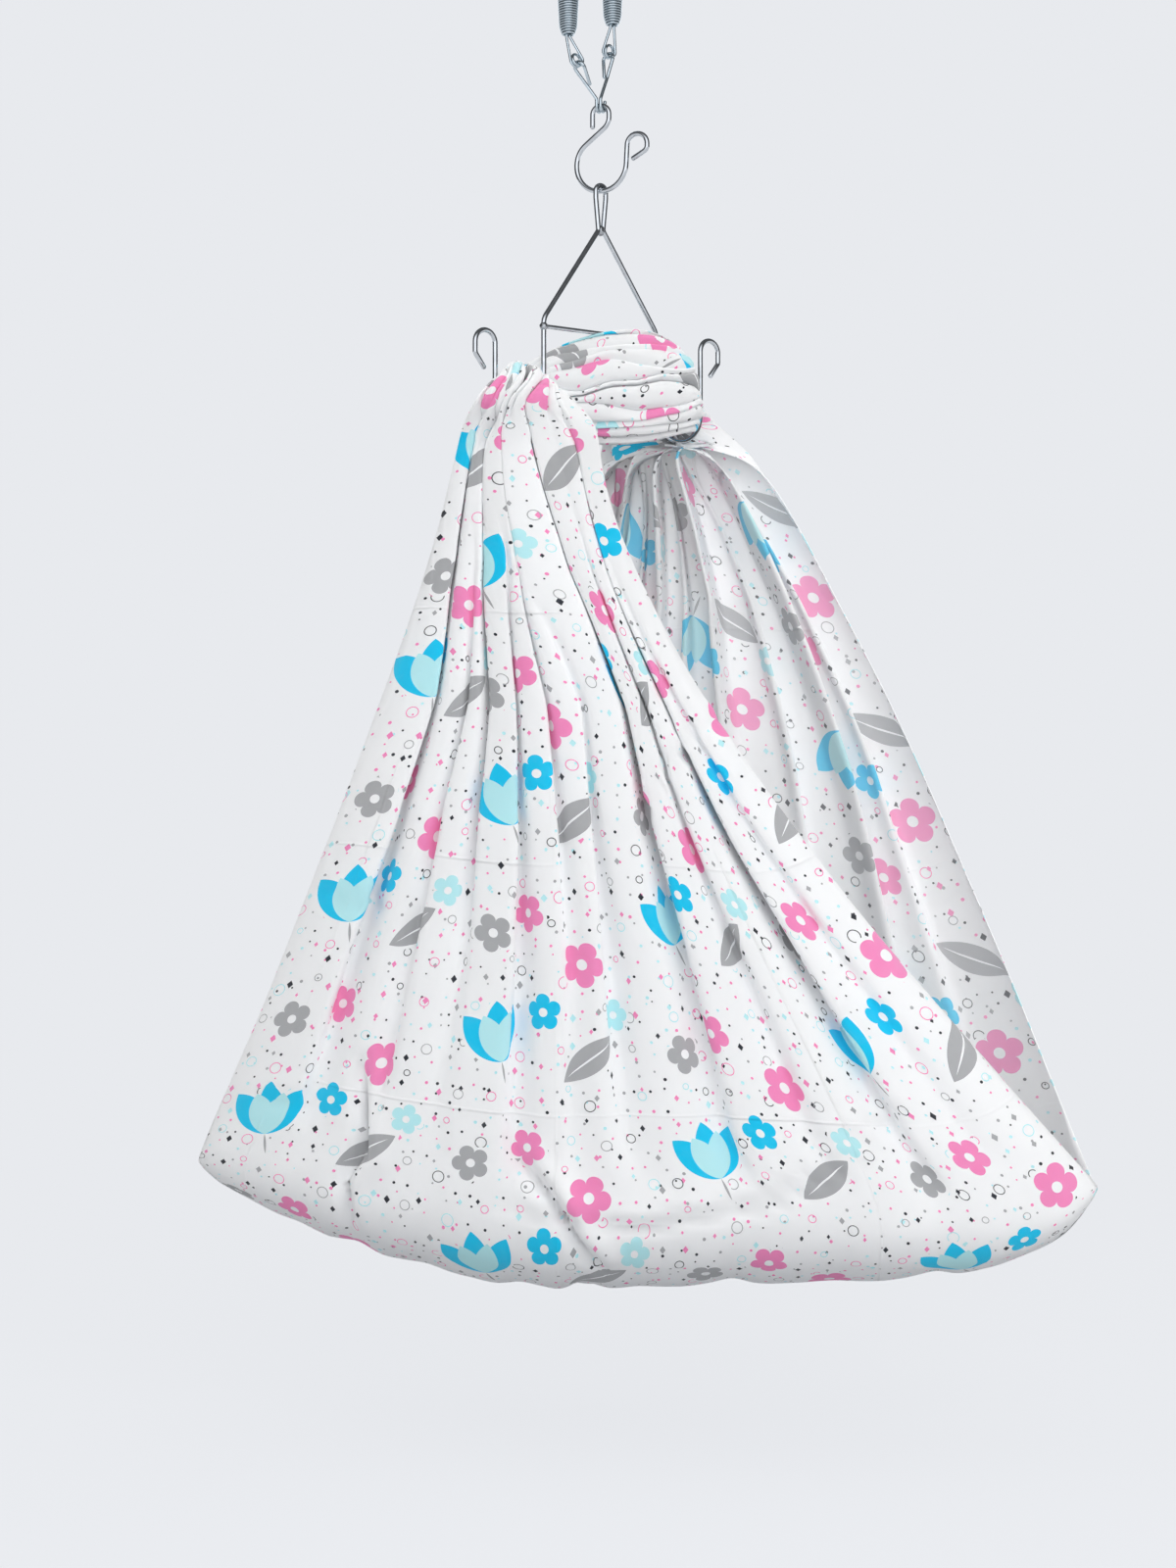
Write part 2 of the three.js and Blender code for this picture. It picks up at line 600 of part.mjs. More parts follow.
// A point given in the cradle's frame, in the hanger's.
function inHanger(x, y, z) {
  return vec(x - HANGER_X, y, z - hangerEyeZ()).applyAxisAngle(vec(0, 0, 1), -HANGER_TURN);
}

// One half of the band, from a sling panel's top to its crossing with the hanger's plane. Each
// section has its centre, its heading and pitch, and half of its width and height.
function bandHalf(top, side) {
  const { riser, lip, turn, leg, crossing } = BAND_SHARES;
  const start = inHanger(top.x, top.y, SLING_TOP_Z + BAND_GAP);
  const hookX = side * (HANGER_HALF + HANGER_HOOK_WIDTH / 2);
  const inner = (HANGER_HOOK_WIDTH - HOOK_WIRE) / 2 - BAND_HOOK_ROOM;
  const hookZ = HANGER_HOOK_WIDTH / 2 - HANGER_HOOK_DROP;
  const bandZ = BAND_LIFT - HANGER_HOOK_DROP;
  const out = -side * BAND_SWING;
  const legX = side * HANGER_HALF;
  const deep = PLEAT_DEPTH / 2;

  const riserAt = vec(mix(start.x, hookX, riser.across), start.y, mix(start.z, hookZ, riser.up));
  const riserPitch = QUARTER * riser.pitch;
  const turnAt = vec(hookX - side * inner * turn.across, out * turn.out, mix(hookZ, bandZ, turn.up));
  const legAt = vec(legX, out, mix(hookZ, bandZ, leg.up));
  const crossingAt = vec(legX * crossing.across, out * crossing.out, bandZ);
  return [
    [start, QUARTER - HANGER_TURN, QUARTER, top.half, deep],
    [riserAt, QUARTER * riser.heading, riserPitch, top.half * riser.wide, deep * riser.high],
    [vec(hookX, side * inner * lip.out, hookZ), QUARTER, QUARTER * lip.pitch, inner, inner],
    [vec(hookX, 0, hookZ), QUARTER, 0, inner, inner],
    [turnAt, QUARTER * turn.heading, 0, inner * turn.wide, inner * turn.high],
    [legAt, 0, 0, BAND_DEPTH, BAND_HEIGHT * leg.high],
    [crossingAt, QUARTER * crossing.heading, 0, BAND_DEPTH, BAND_HEIGHT],
  ];
}

// The whole band, as rings round its sections, with rings between them on a smooth curve.
function bandRings() {
  const { middle } = BAND_SHARES;
  const left = bandHalf(FRONT_TOP, -1);
  const right = bandHalf(BACK_TOP, 1).reverse();
  for (const section of right) section[2] = -section[2];
  const middleAt = vec(0, 0, BAND_LIFT - HANGER_HOOK_DROP);
  const crossed = [middleAt, QUARTER * middle.heading, 0, BAND_DEPTH, BAND_HEIGHT * middle.high];
  const sections = [...left, crossed, ...right];
  const rings = [];
  const centres = sections.map((section) => section[0]);
  const path = new THREE.CatmullRomCurve3(centres, false, "centripetal");
  const count = (sections.length - 1) * BAND_STEPS;
  for (let i = 0; i <= count; i++) {
    const index = Math.min(Math.floor(i / BAND_STEPS), sections.length - 2);
    const value = (k) => mix(sections[index][k], sections[index + 1][k], i / BAND_STEPS - index);
    rings.push(bandRing(path.getPoint(i / count), value(1), value(2), value(3), value(4)));
  }
  return rings;
}

function bandRing(centre, heading, pitch, wide, high) {
  const ahead = vec(Math.cos(heading), Math.sin(heading), 0);
  const across = vec(ahead.y, -ahead.x, 0);
  const up = vec(0, 0, -Math.cos(pitch)).addScaledVector(ahead, Math.sin(pitch));
  const ring = [];
  for (let j = 0; j < BAND_SIDES; j++) {
    const angle = (2 * Math.PI * j) / BAND_SIDES;
    const lobe = 1 - (BAND_LOBE_SHARE * (1 - Math.cos(BAND_LOBES * angle))) / 2;
    const point = centre.clone().addScaledVector(across, wide * lobe * Math.cos(angle));
    ring.push(point.addScaledVector(up, high * lobe * Math.sin(angle)));
  }
  return ring;
}

function hangerEyeZ() {
  const bearing = LOWER_ARCH_Z - SHOOK_EYE_RADIUS - SHOOK_CENTRES - SHOOK_BEND_RADIUS;
  return bearing + HOOK_WIRE + CLEARANCE;
}

function build() {
  const cradle = new THREE.Group();

  // Top S-hook, its big bend over the origin and its eye below
  const bendZ = HOOK_WIRE / 2 - SHOOK_BEND_RADIUS;
  const topHook = piece("top_s_hook", wire(sHookStations(), HOOK_WIRE), CHROME);
  topHook.rotation.set(Math.PI, 0, SHOOK_TURN);
  topHook.position.set(UPPER_EYE_X, 0, bendZ - SHOOK_CENTRES);
  cradle.add(topHook);
  const upperArchZ = bendZ - SHOOK_CENTRES - SHOOK_EYE_RADIUS;

  cradle.add(springEnd("upper", UPPER_EYE_X, upperArchZ, true));
  for (const [name, spring] of [["left_spring", LEFT_SPRING], ["right_spring", RIGHT_SPRING]]) {
    const coil = piece(name, springCoil(), ZINC);
    coil.position.set(spring.x, spring.y, spring.mouth);
    cradle.add(coil);
  }
  cradle.add(springEnd("lower", LOWER_EYE_X, LOWER_ARCH_Z, false));

  const lowerHook = piece("lower_s_hook", wire(sHookStations(), HOOK_WIRE), CHROME);
  lowerHook.position.set(LOWER_EYE_X, 0, LOWER_ARCH_Z - SHOOK_EYE_RADIUS);
  lowerHook.rotation.z = SHOOK_TURN;
  cradle.add(lowerHook);

  // Hanger: the rod, and a crossbar whose weld balls close round its legs
  const hanger = new THREE.Group();
  hanger.position.set(HANGER_X, 0, hangerEyeZ());
  hanger.rotation.z = HANGER_TURN;
  hanger.add(piece("hanger_rod", wire(hangerStations(), HOOK_WIRE), CHROME));
  const room = solid(wire(hangerStations(), HOOK_WIRE + 2 * CLEARANCE, WIRE_SIDES));
  const ends = [-1, 1].map((side) => vec(side * HANGER_HALF, 0, -CROSSBAR_DROP));
  let bar = solid(wire(ends, CROSSBAR_WIRE));
  for (const end of ends) {
    const ball = new THREE.SphereGeometry(WELD_BALL / 2, WELD_STEPS, WELD_STEPS);
    bar = bar.add(solid(ball.translate(end.x, end.y, end.z)));
  }
  hanger.add(piece("hanger_crossbar", geometryOf(bar.subtract(room)), CHROME));

  // Cloth: the bunched band, and the two sides of the sling
  hanger.add(piece("cloth_band", skin(bandRings()), COTTON));
  cradle.add(hanger);
  cradle.add(piece("sling_front", slingPanel(-1), COTTON), piece("sling_back", slingPanel(1), COTTON));
  return cradle;
}

export default build();
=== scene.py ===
"""The finished look of a hanging baby cradle: a loop of printed cotton gathered over the hooks of
a bent steel hanger, hung by an S-hook, wire links and a pair of springs.

Lengths are in metres. +X is to the right, +Y away from someone who faces the cradle, +Z up.
"""

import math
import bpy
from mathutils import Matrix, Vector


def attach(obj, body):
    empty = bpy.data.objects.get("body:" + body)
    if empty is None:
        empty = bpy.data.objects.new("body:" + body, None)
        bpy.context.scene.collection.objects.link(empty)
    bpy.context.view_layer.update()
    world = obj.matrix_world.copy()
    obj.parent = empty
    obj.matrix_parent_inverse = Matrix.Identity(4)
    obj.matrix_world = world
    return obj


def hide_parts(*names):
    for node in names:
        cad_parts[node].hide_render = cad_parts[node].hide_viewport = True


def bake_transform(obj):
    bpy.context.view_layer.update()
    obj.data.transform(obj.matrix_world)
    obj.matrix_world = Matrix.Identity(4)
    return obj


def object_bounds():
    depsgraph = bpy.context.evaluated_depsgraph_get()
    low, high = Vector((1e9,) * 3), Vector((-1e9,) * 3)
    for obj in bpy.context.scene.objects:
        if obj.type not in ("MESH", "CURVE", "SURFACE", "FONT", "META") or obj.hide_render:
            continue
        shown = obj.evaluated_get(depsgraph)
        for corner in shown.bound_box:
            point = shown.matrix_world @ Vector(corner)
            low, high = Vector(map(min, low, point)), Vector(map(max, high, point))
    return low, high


bl_info = {
    "name": "Hanging Cradle",
    "version": (1, 0, 0),
    "blender": (4, 5, 0),
    "location": "View3D > Sidebar > Cradle",
    "description": "Builds the finished look of a hanging baby cradle, piece by piece",
    "category": "Object",
}

from functools import partialmethod, reduce

import bpy
import numpy as np
from bpy.props import FloatProperty, FloatVectorProperty, IntProperty, PointerProperty
from mathutils import Matrix, Vector, noise

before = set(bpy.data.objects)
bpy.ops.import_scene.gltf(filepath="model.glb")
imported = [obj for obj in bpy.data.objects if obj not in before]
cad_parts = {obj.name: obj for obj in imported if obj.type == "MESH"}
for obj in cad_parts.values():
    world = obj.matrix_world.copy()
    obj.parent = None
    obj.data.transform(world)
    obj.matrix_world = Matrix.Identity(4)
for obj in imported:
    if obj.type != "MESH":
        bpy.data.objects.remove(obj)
CAD_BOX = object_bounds()

MM = 0.001
QUARTER = math.pi / 2

# Camera: level, straight along +Y
CAMERA_PLACE = (-7.5 * MM, -3.0, -1.036)
CAMERA_LENS = 67.5
CAMERA_SENSOR = 36.0

# Clearance between pieces that hang in each other
CLEARANCE = 0.35 * MM

# A wire's rounded end: how far in, and how thick it is there, as shares of its thickness
WIRE_END = ((0.0, 0.5), (0.06, 0.72), (0.16, 0.88), (0.32, 1.0))

# S-hook, along its wire's centreline, from the centre of its eye
SHOOK_TURN = math.radians(-25)
SHOOK_EYE_RADIUS = 9.2 * MM
SHOOK_BEND_RADIUS = 27 * MM
SHOOK_CENTRES = 51 * MM
SHOOK_TAIL = 14 * MM
SHOOK_NECK = (10 * MM, 14 * MM)  # drop, bend radius
SHOOK_SHOULDER = (37 * MM, 25 * MM)
SHOOK_CURL_RADIUS = 10.8 * MM
SHOOK_CURL_LEAN = 3 * MM
SHOOK_CURL_TOP = 23 * MM
SHOOK_CURL_HEIGHT = 16.5 * MM
SHOOK_CURL_CORNER = 6 * MM
SHOOK_CURL_END = (17 * MM, 9 * MM)  # inwards, downwards

# Where the hardware hangs
UPPER_EYE_X = 0.0
LOWER_EYE_X = 5.5 * MM
LOWER_ARCH_Z = -344 * MM
LINK_SPACING = 2.2 * MM
LINK_SEAT = 3 * MM

# Springs
SPRING_LENGTH = 105 * MM
SPRING = {  # radii, lengths of its ends, points in one turn and sides of its wire
    "Length": SPRING_LENGTH,
    "Body": 10.4 * MM,
    "Shoulder": 8.6 * MM,
    "Mouth": 5.4 * MM,
    "Taper": 34 * MM,
    "Cone": 12 * MM,
    "Steps": 32,
    "Sides": 10,
}
SPRING_ROUND_END = 2 * MM
SPRING_END_SHARE = 0.6  # how thick the wire is at its very end
SPRINGS = {"left": (-27.6 * MM, -12 * MM, -275 * MM), "right": (17.4 * MM, 8 * MM, -260 * MM)}

# Swivel eyes
EYE_RADIUS = 6.3 * MM
EYE_LENGTH = 27 * MM
EYE_LEG_HALF = 2.1 * MM
EYE_FOOT = 4.4 * MM
EYE_FOOT_HEIGHT = 6 * MM
EYE_TURNS = 1.5
EYE_TURN_STEPS = 36
EYE_COIL_GAP = 0.5 * MM
EYE_STRAIGHT = 2 * MM
EYE_LEAN_SHARE = 0.3
EYE_TWIST = 0.8

# Links
LINK_LOOP_RADIUS = 6.6 * MM
LINK_THROAT = 20 * MM
LINK_END_SHARE = 0.65
LINK_STEM_RADIUS = 10 * MM
LINK_HOOK_RISE = 6 * MM
LINK_HOOK_ROOM = 0.75 * MM
LINK_EYE_ROOM = 1.1 * MM

# Hanger, in its own plane, from the top of its eye
HANGER_X = 5.5 * MM
HANGER_TURN = math.radians(40)
HANGER_EYE_WIDTH = 13.2 * MM
HANGER_NECK_GAP = 6 * MM
HANGER_NECK_DROP = 46 * MM
HANGER_BEND_DROP = 143 * MM
HANGER_HALF = 75 * MM
HANGER_HOOK_WIDTH = 62 * MM
HANGER_HOOK_DROP = 254 * MM
HANGER_ELBOW_RADIUS = 16 * MM
HANGER_NECK_RADIUS = 5 * MM
HANGER_EYE_BEND = 20 * MM
CURL_RADIUS = 12.5 * MM
CURL_DROPS = {-1: 162 * MM, 1: 144 * MM}
CURL_SIDE = 11 * MM
CURL_END = (12 * MM, 15 * MM)
CROSSBAR_DROP = 151 * MM
CROSSBAR_SINK = 0.2  # into each leg, as a share of the rod's thickness

# Welds
LEG_WELD = (1, 1, 1.05)  # its proportions
NECK_WELD = (0.9, 0.9, 1.3)
WELD_SIZE = 8.6 * MM
WELD_RINGS = 14
WELD_SIDES = 20
WELD_LUMPS = 0.16
WELD_LUMP_COUNT = 2.2
WELD_SHIFT = 90  # so that no two welds are alike

# Sling: the two gathers, the keel between its tips, and how it bellies out
SLING_TOP_Z = -690 * MM
TOPS = {-1: (-65 * MM, -97 * MM, 67 * MM), 1: (90 * MM, 110 * MM, 80 * MM)}
KEEL_LEFT = np.array((-410, 48, -1432)) * MM
KEEL_RIGHT = np.array((502, -48, -1447)) * MM
KEEL_LOW_Z = -1544 * MM
KEEL_LOW_SHARE = 0.42
KEEL_LEFT_POWER = 1.8
KEEL_RIGHT_POWER = 8
KEEL_RIGHT_TILT_SHARE = 0.22
BELLY_DEPTH = (5 * MM, 138 * MM)  # at the tips, in the middle
BELLY_ROUND = (9 * MM, 92 * MM)
BELLY_POWER = 0.7
RIGHT_SAGS = {-1: 70 * MM, 1: -20 * MM}
LEFT_SAGS = {-1: 16 * MM, 1: 0.0}
SAG_POWER = 0.75
CREST_HEIGHT = 18 * MM
CREASE_SHARE = 0.2
STRAIGHT_SHARE = 0.5  # of the way down a side is straight, and the rest is its bowl
ROOM_SHARE = 0.9  # how deep folds may go at the keel, of the belly's depth, and how much more
ROOM_MORE = 4 * MM
MEASURE_POINTS = 81

# Band over the hooks
BAND_SWING = 34 * MM
BAND_DEPTH = 23 * MM
BAND_HEIGHT = 57 * MM
BAND_LIFT = 42 * MM
BAND_HOOK_ROOM = 0.6 * MM
BAND_RIGHT_LIFT = 7 * MM
BAND_SPREAD = math.radians(78)  # how far round the bunched cloth reaches, to each side
BAND_LEAST_SPREAD = 0.01
BAND_SINK = 0.9  # how deep its pleats go, as a share of its thickness
GATHER_SINK = 6.0  # the same at the gathers
BAND_BLUR = 2.6 * MM
BAND_BULGE = math.radians(34)
# How far its folds wander, and how that changes from row to row and from fold to fold
BAND_WANDER = 0.014
WANDER_ALONG = 1.1
WANDER_ACROSS = 2.3
# Places and walls of the folds in the band, in the order of the sling's folds
BAND_PLACES = np.array((0, 0.115, 0.19, 0.265, 0.36, 0.43, 0.49, 0.6, 0.71, 0.82, 0.91, 1.0))
BAND_WALLS = np.array((44, 51, 4, 52, 27, 29, 14, 74, 18, 70, 5, 59)) * MM
BAND_HEIGHTS = {-1: (0.5, 0.8), 1: (0.78, 1.0)}  # at the leg and half-way to the middle
# Sections between the front gather and its hook, and the back one and its hook. Each row: share of
# the way to the gather across, out and down, half width as a share of the gather's, half height,
# pitch and heading as shares of the turn, turn of the pleats, roundness.
SHOULDERS = {
    -1: (
        (1.3, 0.96, 0.66, 0.87, 20 * MM, 0.87, 0.78, 0.0, 0.3),
        (1.7, 0.84, 0.32, 0.68, 25 * MM, 0.66, 0.48, 0.0, 0.6),
        (1.1, 0.5, 0.0, 0.52, 30 * MM, 0.33, 0.15, 0.08, 0.9),
    ),
    1: (
        (0.75, 0.96, 0.66, 0.92, 20 * MM, 0.87, 0.78, 0.0, 0.3),
        (0.45, 0.84, 0.32, 0.75, 25 * MM, 0.66, 0.48, 0.0, 0.6),
        (0.25, 0.5, 0.0, 0.52, 30 * MM, 0.33, 0.15, 0.08, 0.9),
    ),
}
# Sections in each hook, all as shares: how far towards the leg, out and up towards the band,
# heading, half width, half height, turn of the pleats
HOOK_SECTIONS = ((0.0, 0.0, 0.0, 1.0, 1.0, 1.08, 0.3), (0.6, 0.7, 0.3, 0.57, 0.75, 1.25, 0.6))
# Sections at each leg and half-way to the middle: how far across, out and up, heading, turn
LEG_SECTIONS = ((1.0, 1.0, 0.7, 0.0, 0.9), (0.5, 0.75, 1.0, -0.33, 1.0))
MIDDLE_HEADING = -0.44

# Tucks in the front's belly: height, width, and the line that each follows, as x and z
TUCKS = (
    (17 * MM, 15 * MM, ((-0.233, -1.300), (-0.229, -1.396), (-0.249, -1.425), (-0.243, -1.485))),
    (16 * MM, 15 * MM, ((-0.080, -1.395), (-0.042, -1.441), (-0.018, -1.484), (0.010, -1.516))),
    (
        7 * MM, 12 * MM,
        ((-0.114, -1.436), (-0.060, -1.456), (0.047, -1.466), (0.164, -1.444), (0.28, -1.39)),
    ),
    (4 * MM, 10 * MM, ((0.225, -1.385), (0.268, -1.372), (0.320, -1.352))),
    (4 * MM, 9 * MM, ((-0.275, -1.136), (-0.235, -1.154), (-0.200, -1.160))),
    (4 * MM, 9 * MM, ((-0.355, -1.342), (-0.310, -1.354), (-0.265, -1.357))),
    (4 * MM, 10 * MM, ((0.031, -1.094), (0.080, -1.010), (0.146, -0.940))),
)
# A tuck's ridge and valley. Places are in widths from its line, heights in its height.
TUCK_FADE = 0.6
RIDGE_PLACE = 0.9
RIDGE_NARROW = 1.6
RIDGE_START = 0.4
RIDGE_STEEP = 4
RIDGE_HEIGHT = 0.7
VALLEY_NARROW = 5
VALLEY_DEPTH = 1.1

# Swells and wrinkles: how long each is across and along the cloth, its layer of noise, its height,
# and whether it is everywhere or only near the gathers and on the band
SWELLS = (
    (0.11, 0.2, 1.5, 2.6 * MM, True),
    (0.045, 0.11, 7.5, 1.1 * MM, True),
    (0.016, 0.1, 3.5, 1.1 * MM, False),
)
WRINKLE_REACH = 0.16  # how far from a gather wrinkles fade

# Folds of the sling, front and back. Each row is one fold: its place across the cloth, how far it
# leans under its neighbour, and the length of its walls at each level. The first and the last row
# are the selvedges, which tuck in. Lengths are in millimetres, leans in degrees.
LEVELS = np.array((0.0, 0.075, 0.2, 0.355, 0.52, 0.71, 0.955, 1.3))
FRONT_FOLDS = np.array((
    (0.0, 0, 30, 26, 20, 14, 8, 4, 0, 0),
    (0.115, 20, 64, 56, 46, 35, 32, 22, 7, 2),
    (0.19, -34, 0, 0, 3, 12, 18, 14, 9, 4),
    (0.265, -26, 76, 68, 54, 40, 24, 9, 4, 2),
    (0.36, 24, 0, 0, 6, 20, 23, 20, 10, 3),
    (0.43, 30, 82, 66, 44, 20, 14, 8, 7, 6),
    (0.49, 26, 0, 0, 0, 9, 20, 17, 6, 2),
    (0.6, -22, 78, 67, 56, 50, 42, 26, 10, 4),
    (0.71, -20, 0, 0, 5, 14, 17, 12, 4, 0),
    (0.82, -24, 84, 75, 66, 60, 46, 28, 10, 4),
    (0.91, -20, 0, 0, 2, 8, 11, 8, 3, 0),
    (1.0, 0, 66, 60, 52, 46, 36, 24, 10, 5),
))
BACK_FOLDS = np.array((
    (0.0, 0, 24, 18, 12, 8, 5, 3, 0, 0),
    (0.1, 30, 70, 58, 42, 30, 26, 16, 8, 4),
    (0.19, 30, 0, 12, 24, 26, 20, 12, 6, 3),
    (0.28, 34, 84, 70, 50, 36, 28, 18, 8, 4),
    (0.38, 38, 0, 16, 30, 34, 26, 16, 8, 5),
    (0.47, 40, 80, 62, 42, 26, 20, 14, 8, 5),
    (0.56, 44, 0, 16, 30, 38, 30, 18, 8, 4),
    (0.66, 44, 84, 68, 50, 36, 26, 14, 6, 3),
    (0.75, -36, 0, 14, 24, 22, 16, 10, 5, 3),
    (0.84, -44, 70, 60, 48, 40, 34, 22, 10, 4),
    (0.92, -36, 0, 12, 20, 20, 14, 8, 4, 2),
    (1.0, 0, 30, 24, 18, 12, 8, 4, 0, 0),
))
# At each level: how steep the walls are in degrees, how much a fold is rounded in millimetres, how
# much of its lean a fold has, and how far a crest bulges in degrees
STEEPNESS = np.array((
    (90, 1.7, 0.2, 17),
    (90, 2.0, 0.25, 16),
    (89, 2.5, 0.4, 14),
    (87, 3.3, 0.75, 12),
    (82, 5.0, 1.0, 10),
    (72, 7.4, 1.0, 9),
    (60, 10.0, 1.0, 7),
    (56, 11.0, 1.0, 6),
))
# How strongly steep walls close over, from how steep on, and how far at most
CLOSING_SHARE = 2.1
CLOSING_POWER = 8
CLOSING_MOST = 0.9
WALL_SHARE = 0.96  # how much of the room between two folds their walls may take
BLUR_REACH = 3  # how far a fold's rounding goes, in its own sizes
LIMIT_POWER = 4  # how sharply a fold's depth is held at its limit
# A row's points while its walls are scaled, the largest scale, and how often it is halved
FINE_STEPS = 1200
MOST_SCALE = 3.0
HALVINGS = 20
FACING_COLUMNS = 25  # columns over which the cloth's facing is evened
TINY = 1e-6
# Columns stand this far apart on flat cloth, and this much closer where it turns
COLUMN_GAP = 16 * MM
COLUMN_TURN = math.radians(16)

# Rows of points down one side of the sling, round half of its bowl, and over the hooks. The seam
# lies in the hook in front, this many rows of the band past the gather.
SLING_ROWS = 66
BOWL_ROWS = 22
BAND_ROWS = 96
SEAM_ROWS = 30
# How rows are evened out where parts join: rows to each side, passes
GATHER_EASE = (9, 14)
BOWL_EASE = (8, 8)
EASE_MOST = 0.5
EASE_EDGE = 1.6


def srgb(red, green, blue):
    """A colour given as on a screen, 0 to 255, in Blender's linear numbers."""
    made = []
    for part in (red, green, blue):
        share = part / 255
        made.append(share / 12.92 if share <= 0.04045 else ((share + 0.055) / 1.055) ** 2.4)
    return tuple(made)


# What a user would change


def length(name, description, default):
    return FloatProperty(name=name, description=description, default=default, min=0, unit="LENGTH")


def amount(name, description, default, least=0):
    return FloatProperty(name=name, description=description, default=default, min=least)


def whole(name, description, default, least):
    return IntProperty(name=name, description=description, default=default, min=least)


def colour(name, description, *screen):
    return FloatVectorProperty(
        name=name, description=description, default=srgb(*screen), min=0, max=1, subtype="COLOR"
    )


class CradleWires(bpy.types.PropertyGroup):
    hook: length("Hook rod", "Thickness of the S-hooks' and the hanger's rod", 5.5 * MM)
    link: length("Link wire", "Thickness of the links' wire", 3.6 * MM)
    eye: length("Eye wire", "Thickness of the swivel eyes' wire", 3.0 * MM)
    spring: length("Spring wire", "Thickness of the springs' wire", 2.45 * MM)
    crossbar: length("Crossbar rod", "Thickness of the hanger's crossbar", 4.5 * MM)
    turns: whole("Spring turns", "Turns in each spring", 42, 4)
    sides: whole("Sides", "Sides of a round wire", 20, 6)
    chrome: colour("Chrome", "Colour of the plated rods", 216, 220, 224)
    zinc: colour("Zinc", "Colour of the links, eyes and springs", 204, 216, 223)


class CradleCloth(bpy.types.PropertyGroup):
    width: length("Width", "Width of the cotton from selvedge to selvedge", 0.98)
    thickness: length("Thickness", "Thickness of the cotton, with its nap", 0.8 * MM)
    hem: length("Hem", "Width of the double hem along each selvedge", 11 * MM)
    print_size: amount("Print", "Size of the print", 1.24, 0.2)
    columns: whole("Columns", "Points across the cloth", 178, 40)
    white: colour("White", "Ground of the cotton", 246, 248, 250)
    sky: colour("Sky blue", "Deep blue of the print", 20, 184, 240)
    pale: colour("Pale blue", "Light blue of the print", 172, 232, 242)
    pink: colour("Pink", "Pink of the print", 244, 128, 176)
    grey: colour("Grey", "Grey of the print", 158, 159, 161)
    dark: colour("Dark", "Near-black of the small dots", 42, 44, 50)


class CradleStage(bpy.types.PropertyGroup):
    background: colour("Background", "Colour of the floor and the backdrop", 232, 234, 238)
    drop: length("Drop", "How far the floor lies below the ceiling hook", 1.7)
    key: amount("Key light", "Power of the large front lamp", 54)
    fill: amount("Fill light", "Power of the lamp near the camera", 20)
    gloss: amount("Gloss", "Strength of what metal mirrors", 1.9)
    bounce: amount("Bounce", "How much light the floor sends back", 0.5)
    sky: amount("Sky", "Strength of the even light all round", 0.98)


# Node trees


class Number:
    """A number in a node tree. Sums on it add Math nodes."""

    def __init__(self, nodes, socket):
        self.nodes = nodes
        self.socket = socket

    def calc(self, operation, *others):
        sockets = dict(enumerate((self, *others)))
        return self.nodes.out("ShaderNodeMath", {"operation": operation}, sockets)

    plus = __add__ = __radd__ = partialmethod(calc, "ADD")
    __sub__ = partialmethod(calc, "SUBTRACT")
    __mul__ = __rmul__ = partialmethod(calc, "MULTIPLY")
    __truediv__ = partialmethod(calc, "DIVIDE")
    __lt__ = partialmethod(calc, "LESS_THAN")
    __gt__ = partialmethod(calc, "GREATER_THAN")
    __abs__ = partialmethod(calc, "ABSOLUTE")
    power = partialmethod(calc, "POWER")
    least = partialmethod(calc, "MINIMUM")
    most = partialmethod(calc, "MAXIMUM")
    floor = partialmethod(calc, "FLOOR")
    fraction = partialmethod(calc, "FRACT")
    sine = partialmethod(calc, "SINE")
    cosine = partialmethod(calc, "COSINE")
    angle_from = partialmethod(calc, "ARCTAN2")

    def __rsub__(self, other):
        return (self * -1) + other

    def clamped(self):
        return self.most(0.0).least(1.0)

    def ramp(self, low, span):
        """0 up to low, 1 from low + span on, and even between them."""
        return ((self - low) / span).clamped()


class Nodes:
    """Adds the nodes of one tree."""

    def __init__(self, tree):
        self.tree = tree
        tree.nodes.clear()

    def add(self, kind, settings=None, sockets=None):
        node = self.tree.nodes.new(kind)
        for name, value in (settings or {}).items():
            setattr(node, name, value)
        for name, value in (sockets or {}).items():
            if isinstance(value, Number):
                self.tree.links.new(value.socket, node.inputs[name])
            else:
                node.inputs[name].default_value = value
        return node

    def number(self, node, output=0):
        return Number(self, node.outputs[output])

    def out(self, kind, settings=None, sockets=None, output=0):
        return self.number(self.add(kind, settings, sockets), output)

    def parts(self, vector):
        split = self.add("ShaderNodeSeparateXYZ", None, {0: vector})
        return [self.number(split, axis) for axis in range(3)]

    def speckle(self, place, scale, detail):
        """Noise from 0 to 1."""
        sockets = {"Vector": place, "Scale": scale, "Detail": detail}
        return self.out("ShaderNodeTexNoise", None, sockets)

    def bump(self, height, strength=1.0, distance=1.0):
        sockets = {"Height": height, "Strength": strength, "Distance": distance}
        return self.out("ShaderNodeBump", None, sockets)

    def rays(self, *kinds):
        """1 for a ray of any of the kinds, and 0 for others."""
        path = self.add("ShaderNodeLightPath")
        found = [self.number(path, f"Is {kind} Ray") for kind in kinds]
        return reduce(Number.plus, found).clamped()

    def join(self, x, y, z=0.0):
        return self.out("ShaderNodeCombineXYZ", None, {0: x, 1: y, 2: z})

    def mixed(self, share, first, second):
        """Two colours mixed. Each is three numbers or a socket."""
        first, second = (v if isinstance(v, Number) else (*v, 1.0) for v in (first, second))
        return self.out("ShaderNodeMix", {"data_type": "RGBA"}, {0: share, 6: first, 7: second}, 2)


def length_of(*parts):
    """The length of a vector in a node tree."""
    return reduce(Number.plus, (part * part for part in parts)).power(0.5)


